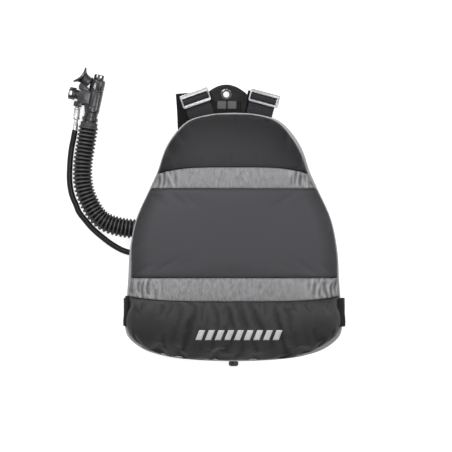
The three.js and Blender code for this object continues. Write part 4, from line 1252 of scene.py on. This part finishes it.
def knurl(side, place):
    """Slanted grip ridges on the slide's lower wall, each a low roof."""
    section = ((-11.2, 26.2), (-9.4, 27.0), (-7.6, 26.2), (-11.2, 25.6), (-7.6, 25.6))
    points, faces = [], []
    for i in range(19):
        b = len(points)
        for y, z in section:
            x = -22.5 + i * 2.5 + (y + 9.4) * 0.9
            points += [place @ Vector((x + dx, y, z)) for dx in (-0.55, 0.55)]
        faces += [(b, b + 1, b + 3, b + 2), (b + 2, b + 3, b + 5, b + 4), (b + 6, b + 8, b + 9, b + 7),
                  (b, b + 6, b + 7, b + 1), (b + 4, b + 5, b + 9, b + 8),
                  (b, b + 2, b + 4, b + 8, b + 6), (b + 1, b + 7, b + 9, b + 5, b + 3)]
    make(f"slide_{side}_knurl", points, faces, SATIN_STEEL, smooth=False, node=f"shoulder_slide_{side}")


def make_rings():
    """Welded D-rings: one round bar bent to a D."""
    half, top = 23.25, 10
    for side, x in RING_X.items():
        loop = [(-half, 0.85), (0, 0.85), (half, 0.85), (half, top)]
        loop += [(half * math.cos(a), top + half * math.sin(a))
                 for a in np.linspace(0.12, math.pi - 0.12, 16)]
        loop += [(-half, top)]
        line = catmull([(x + px, RING_Y + py, 7) for px, py in loop], 150, closed=True)
        radii = np.where(line[:, 1] < RING_Y + 2.4, 1.45, 2.45)
        for _ in range(6):
            radii = (np.roll(radii, 1) + radii + np.roll(radii, -1)) / 3
        swept(f"d_ring_{side}_bar", line, radii, STEEL, f"d_ring_{side}", sides=20, node=f"d_ring_{side}")


# ---- Inflator, its buttons and mouthpiece -----------------------------------------------
def make_inflator():
    """Barrel with its valve block, inlet and neck; the hose comes up into its lower end."""
    base = stand(*INFLATOR)
    button = base @ Matrix.Translation((0, BUTTON_Y, 0)) @ LAY_BACK
    shell = {"node": "inflator_body"}
    barrel = [(9, 0), (13, 0), (13, 17), (14.3, 19), (14.3, 27), (13.9, 27.6), (13.9, 28.8), (14.3, 29.4),
              (14.3, 58), (9, 58), (9, 0)]
    lathe("inflator_barrel", barrel, BLACK_PLASTIC, base @ LAY_Y, sides=56, **shell)
    boss = [(4.2, 29), (9, 29), (9, 40), (4.2, 40), (4.2, 29)]
    lathe("inflator_boss", boss, BLACK_PLASTIC, button, **shell)
    lathe("inflator_inlet", [(4.4, 30.4), (7.2, 30.4), (7.2, 36), (4.4, 36), (4.4, 30.4)], BLACK_PLASTIC,
          base @ Matrix.Translation((-23.5, -2.5, -6.5)) @ LAY_Y, **shell)
    seal = [(9.5, -4.5), (13.2, -4.5), (13.6, -3), (13.6, -0.6), (13.2, 0.4), (9.5, 0.4), (9.5, -4.5)]
    lathe("inflator_hose_seal", seal, RUBBER, base @ LAY_Y, soften=0.3)
    saddle = [(-33, 56.2), (-34.4, 64), (-33.2, 68), (-30, 69.6), (-26, 68.4), (-14.2, 62.6), (-14.2, 56.2)]
    web = [(-16.2, 33), (-15.8, 26), (-12.8, 15), (-11, 13), (-9.5, 13), (-9.5, 33)]
    blocks = (("inflator_valve_block", rounded_rect(26, 25, 5, cx=-19, cy=44), -11, 11, 1.6, shell),
              ("inflator_block_panel", rounded_rect(15, 15, 3, cx=-21, cy=44), 10.6, 11.9, 0.6, shell),
              ("inflator_neck_saddle", saddle, -8.6, 8.6, 1.4, shell),
              ("inflator_block_web", web, -7, 7, 1.0, shell),
              ("inflator_side_rib", rounded_rect(6, 34, 2.4, cx=6.5, cy=38), 12.2, 13.6, 0.6, shell),
              ("inflator_inlet_block", rounded_rect(16, 10.6, 2.5, cx=-29, cy=28), -14.5, 3.5, 1.2, {}))
    for name, outline, low, high, bevel, marks in blocks:
        slab(name, outline, low, high, BLACK_PLASTIC, base, bevel=bevel, **marks)
    make_top_cap(base)
    make_inflate_button(base, button)
    make_mouthpiece(base)


def make_top_cap(base):
    """The deflate button in its cap, with a bright window on each flank."""
    cap = [(0, 58.3), (14.3, 58.3), (14.3, 61), (13.7, 61.8), (13.7, 62.8), (14.3, 63.6), (14.3, 79),
           (13, 82), (10.2, 82), (10.2, 67), (0, 67)]
    lathe("top_cap_shell", cap, BLACK_PLASTIC, base @ LAY_Y, sides=60, ribs=(15, 0.5, 64, 78),
          node="inflator_top_cap")
    for i, degrees in enumerate((-22, 22, 158, 202)):
        slab(f"deflate_button_window_{i}", rounded_rect(3.8, 5.6, 1, cy=88), 8.6, 9.95, BRIGHT_STEEL,
             base @ Matrix.Rotation(math.radians(degrees), 4, "Y"), "deflate_button", bevel=0.35)
    button = [(0, 73.6), (3.6, 73.6), (3.6, 80), (9.7, 80), (9.7, 90.2), (8.7, 92), (5.6, 92.1), (5, 91.3),
              (0, 91.3)]
    lathe("deflate_button_cap", button, BLACK_PLASTIC, base @ LAY_Y, "deflate_button",
          ribs=(18, 0.45, 81, 89.6), node="deflate_button")


def make_inflate_button(base, place):
    """The side button with its bright disc, and a bright steel inlay on its top as a painted highlight."""
    cup = [(0, 50), (10.8, 50), (12, 48.8), (12, 37.4), (9.5, 37.4), (9.5, 46), (3.4, 46), (3.4, 27), (0, 27)]
    lathe("inflate_button_cap", cup, BLACK_PLASTIC, place, "inflate_button", sides=72,
          ribs=(18, 0.7, 38.5, 48.9), node="inflate_button")
    disc = [(0, 49.8), (8.2, 49.8), (8.6, 50.6), (7.8, 51.4), (2, 51.7), (0, 51.7)]
    lathe("inflate_button_disc", disc, BRIGHT_STEEL, place, "inflate_button", soften=0.2)
    slab("inflate_button_inlay", rounded_rect(4.8, 8.5, 1.2, cx=-46.3, cy=46), 10.4, 12.5, BRIGHT_STEEL, base,
         "inflate_button", bevel=0.35)


def make_mouthpiece(base):
    """A soft flared mouthpiece, flattened like lips, on a neck saddled over the barrel."""
    profile = [(6, 17.5), (9, 17.5), (10.8, 19), (11.4, 20), (11.4, 22), (10.6, 23), (10.3, 28), (10.6, 31.4),
               (11.7, 34.6), (13.8, 37.6), (16.4, 40.2), (18.4, 41.9), (18.9, 43.2), (18.2, 44.4), (16, 44.6),
               (12.6, 42.6), (9, 39), (7, 35), (6, 30), (6, 17.5)]
    lay = base @ stand(0, 62.7, 0, 59.8) @ Matrix.Diagonal((1, 1, 0.7, 1)) @ LAY_Y
    piece = lathe("mouthpiece_rubber", profile, RUBBER, lay, sides=56, soften=0.35, node="mouthpiece")
    curve_lips(piece, lay)
    collar = [(6.2, 17.2), (10, 17.2), (12, 18.5), (12.4, 19.5), (12.4, 21.4), (11.6, 22.4), (6.2, 22.4),
              (6.2, 17.2)]
    lathe("mouthpiece_collar", collar, BLACK_PLASTIC, lay, soften=0.4)


def curve_lips(piece, lay):
    """Pulls the flare's broad sides back, so its rim is curved to fit the mouth."""
    back = lay.inverted()
    for vertex in piece.data.vertices:
        local = back @ (vertex.co / MM)
        reach = min(max((local.z - 30) / 11, 0), 1)
        flat = (local.y / 18.5) ** 2
        local.z -= 6.5 * reach * flat
        vertex.co = (lay @ local) * MM


def make_coupler():
    """The quick coupler's sleeve and the nipple that it grips."""
    lay = stand(*COUPLER) @ LAY_Y
    sleeve = [(4.4, 21), (6.8, 21), (7.1, 21.6), (7.1, 24.6), (6.4, 26), (6.2, 33), (6.4, 40), (7.1, 41),
              (7.1, 42.5), (6.8, 43), (4.4, 43), (4.4, 21)]
    lathe("coupler_knurled_sleeve", sleeve, BRIGHT_STEEL, lay, "coupler_sleeve", sides=80, soften=0.2,
          ribs=(20, 0.45, 26, 40), node="quick_connect_sleeve")
    nipple = [(0, 38.4), (3.6, 38.4), (4, 39), (4, 43.5), (3.2, 44.2), (3.2, 45.6), (4, 46.4), (4, 50.2),
              (0, 50.2)]
    lathe("lp_inlet_nipple", nipple, STEEL, lay, soften=0.2, node="lp_nipple")


# ---- Dump valve, elbow and the belt's buckle ---------------------------------------------
def make_dump_valve():
    """Valve body, cord nozzle and screw cap, with the pull on its cord."""
    place = Matrix.Translation(VALVE)
    lay = Matrix.Translation((VALVE.x, VALVE.y, 20)) @ Matrix.Rotation(math.pi / 2, 4, "X")
    r = 19.5
    body = [(12, 27), (r - 2.6, 27), (r - 2.6, 14), (r, 14), (r, 31.4), (22, 33.6), (26, 34.4), (26.4, 36),
            (26, 39.4), (12, 39.4), (12, 27)]
    lathe("dump_valve_body", body, BLACK_PLASTIC, place, soften=0.6, sides=64, node="dump_valve_housing")
    nozzle = [(2.1, 18), (5.4, 18), (5.4, 21), (4.5, 22), (4.5, 30.2), (3.9, 31), (2.1, 31), (2.1, 18)]
    lathe("dump_valve_nozzle", nozzle, BLACK_PLASTIC, lay, soften=0.3, node="dump_valve_housing")
    cap = [(3, 9.5), (19.6, 9.5), (22, 11.6), (22, 15), (19.85, 15), (19.85, 13.6), (10, 12.2), (3, 12.2),
           (3, 9.5)]
    lathe("dump_valve_screw_cap", cap, BLACK_PLASTIC, place, sides=96, ribs=(24, 0.8, 10.4, 15.1),
          node="dump_valve_cap")
    cord = [(VALVE.x + 0.25 * math.sin(t * 3), VALVE.y - 13 - 27.3 * t, 20 + 0.2 * math.cos(t * 5))
            for t in np.linspace(0, 1, 24)]
    swept("dump_cord_line", cord, 1.3, BLACK_WEB, "dump_pull", sides=12, node="dump_pull_cord")
    knob = [(0, 53.4), (1.6, 53.4), (2, 52.6), (4.6, 53.2), (6.5, 53.4), (9.3, 51), (9.5, 46), (7, 42.5),
            (4, 40.6), (0, 40.6)]
    lathe("dump_pull_toggle", knob, RUBBER, lay, "dump_pull", ribs=(12, 0.7, 44, 51.5), sides=60,
          node="dump_pull_knob")


def make_elbow():
    """Corrugated hose's elbow: ribbed barb, round heel and the flange under the cover."""
    place = Matrix.Translation(ELBOW)
    r = 14.0
    ribs = []
    for i in range(4):
        x = 8 + i * 5.4
        ribs += [(r - 1.0, x), (r, x + 4.6)]
    barb = [(11, 0), (r, 0), *ribs, (r - 0.3, 31), (r - 1, 32), (11, 32), (11, 0)]
    heel = [(0, -r)] + [(r * math.sin(a), -r * math.cos(a)) for a in np.linspace(0.15, math.pi / 2, 10)]
    heel += [(r, 12.5), (17, 15.5), (24.5, 17.8), (26, 18.6), (26, 20.4), (11, 20.4), (11, -2), (0, -2)]
    neck = [(11, 20), (r, 20), (r, 25.3), (11, 25.3), (11, 20)]
    for name, profile, lay, soften in (("barb", barb, place @ LAY_BACK, 0.2), ("heel", heel, place, 0.3),
                                       ("neck", neck, place, 0.2)):
        lathe("elbow_" + name, profile, BLACK_PLASTIC, lay, soften=soften, node="hose_elbow")


def make_buckle_lever():
    """The cam lever: pressed plate with grip ribs across its tail."""
    pin_x, pin_z = -120.0, 8.0
    profile = [(-39, 6.6), (-9, 6), (-4, 3.4)]
    profile += arc(0, pin_z, 5.2, math.degrees(-2.2), 90, 14)
    profile += [(-15, 12.2)]
    for i in range(5):
        x = -20 - i * 3.6
        profile += [(x, 11.75 - i * 0.4), (x - 1.2, 12.3 - i * 0.45), (x - 2.4, 11.4 - i * 0.4)]
    profile += [(-39, 9.4)]
    upright = Matrix(((1, 0, 0, pin_x), (0, 0, -1, 28), (0, 1, 0, 0), (0, 0, 0, 1)))
    hole = arc(0, pin_z, 2.75, 0, 360, 20)[:-1]
    slab("buckle_cam_lever", profile, 0, 56, STEEL, upright, "buckle_lever", bevel=0.35, holes=[hole],
         node="waist_buckle_lever")


# ---- CAD pieces that are shown as they are ------------------------------------------------
CARRIED = {
    "lumbar_plate": PLATE_PLASTIC, "plate_screw_left": STEEL, "plate_screw_right": STEEL,
    "waist_buckle_frame": STEEL, "waist_buckle_pin": STEEL, "d_ring_keeper_left": STEEL,
    "d_ring_keeper_right": STEEL, "dump_poppet": RUBBER, "elbow_lock_ring": BLACK_PLASTIC,
}


def coil_spring(node, matrix, radius, wire, low, high, turns):
    """A coil spring of round wire between two heights, for a button or the poppet."""
    line = []
    for t in np.linspace(0, 1, turns * 22 + 1):
        angle = 2 * math.pi * turns * t
        height = low + wire + (high - low - 2 * wire) * t
        line.append(tuple(matrix @ Vector((radius * math.cos(angle), radius * math.sin(angle), height))))
    coil = swept(node + "_coil", line, wire, STEEL, sides=10, node=node)
    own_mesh(coil)


def make_springs():
    """The springs under both buttons and the dump poppet."""
    base = stand(*INFLATOR)
    side = base @ Matrix.Translation((0, BUTTON_Y, 0)) @ LAY_BACK
    valve = Matrix.Translation(VALVE)
    coil_spring("deflate_spring", base @ LAY_Y, 6.4, 0.8, 67.3, 79.7, 3)
    coil_spring("inflate_spring", side, 6.4, 0.7, 40.3, 45.7, 2)
    coil_spring("dump_spring", valve, 7.5, 0.8, 12.6, 23.3, 3)


def dress_carried():
    """Gives the CAD's own pieces their materials."""
    for name, material in CARRIED.items():
        node = frame["nodes"][name]
        for piece in (node, *node.children_recursive):
            if piece.type == "MESH":
                piece.data.materials.clear()
                piece.data.materials.append(material)


# ---- Floor, light and background ------------------------------------------------------
def make_stage():
    """Pale floor, three soft lamps and the room."""
    mesh = bpy.data.meshes.new("floor")
    mesh.from_pydata([(-18, -18, 0), (18, -18, 0), (18, 18, 0), (-18, 18, 0)], [], [(0, 1, 2, 3)])
    floor = bpy.data.objects.new("floor", mesh)
    bpy.context.scene.collection.objects.link(floor)
    floor.location = (0, 0, -0.001)
    material, shader, net, coords = new_material("pale_floor", (0.5, 0.5, 0.5), 0.95, gloss=0.05)
    pale = net.tint(net.noise(coords, 2.0), (0.49, 0.49, 0.49), (0.53, 0.53, 0.53))
    net.join(pale, shader.inputs["Base Color"])
    shader.inputs["Emission Color"].default_value = (1, 1, 1, 1)
    shader.inputs["Emission Strength"].default_value = 0.82
    mesh.materials.append(material)
    make_lamp("key_light", (-1.3, 2.1, 2.3), 1.0, 74)
    make_lamp("fill_light", (2.1, 0.4, 1.5), 1.0, 18)
    make_lamp("top_light", (0.4, 0.1, 3.2), 1.2, 22)
    make_world()
    bpy.context.scene.view_settings.view_transform = "Standard"


def make_world():
    """Soft white room with a darker band at mid height, which edges reflect."""
    world = bpy.data.worlds.new("studio")
    world.use_nodes = True
    net = Net(world.node_tree)
    height = net.split(net.add("ShaderNodeTexCoord").outputs["Generated"])[2]
    ramp = net.add("ShaderNodeValToRGB")
    ramp.color_ramp.elements[0].color = (1, 1, 1, 1)
    for place, value in ((0.1, 0.9), (0.2, 0.05), (0.55, 0.08), (0.8, 0.5)):
        ramp.color_ramp.elements.new(place).color = (value, value, value, 1)
    ramp.color_ramp.elements[-1].color = (0.6, 0.6, 0.6, 1)
    net.join(height, ramp.inputs["Fac"])
    background = net.nodes["Background"]
    net.join(ramp.outputs["Color"], background.inputs["Color"])
    background.inputs["Strength"].default_value = 0.8
    bpy.context.scene.world = world


def make_lamp(name, place, size, power):
    """A square area light aimed at the middle of the vest."""
    data = bpy.data.lights.new(name, "AREA")
    data.shape = "SQUARE"
    data.size = size
    data.energy = power
    light = bpy.data.objects.new(name, data)
    bpy.context.scene.collection.objects.link(light)
    light.location = place
    light.rotation_euler = (Vector((0, 0.15, 0)) - Vector(place)).to_track_quat("-Z", "Y").to_euler()


make_camera()
make_corrugated_hose()
make_lp_hose()
skins = make_cover_top()
make_front_cover()
make_bladder()
make_seams(skins)
make_reflective_bars(surface_of(skins[-1]))
make_side_tabs()
make_straps()
make_shoulder_plate()
make_pads()
make_slides()
make_rings()
make_inflator()
make_coupler()
make_dump_valve()
make_elbow()
make_buckle_lever()
make_springs()
dress_carried()
make_stage()
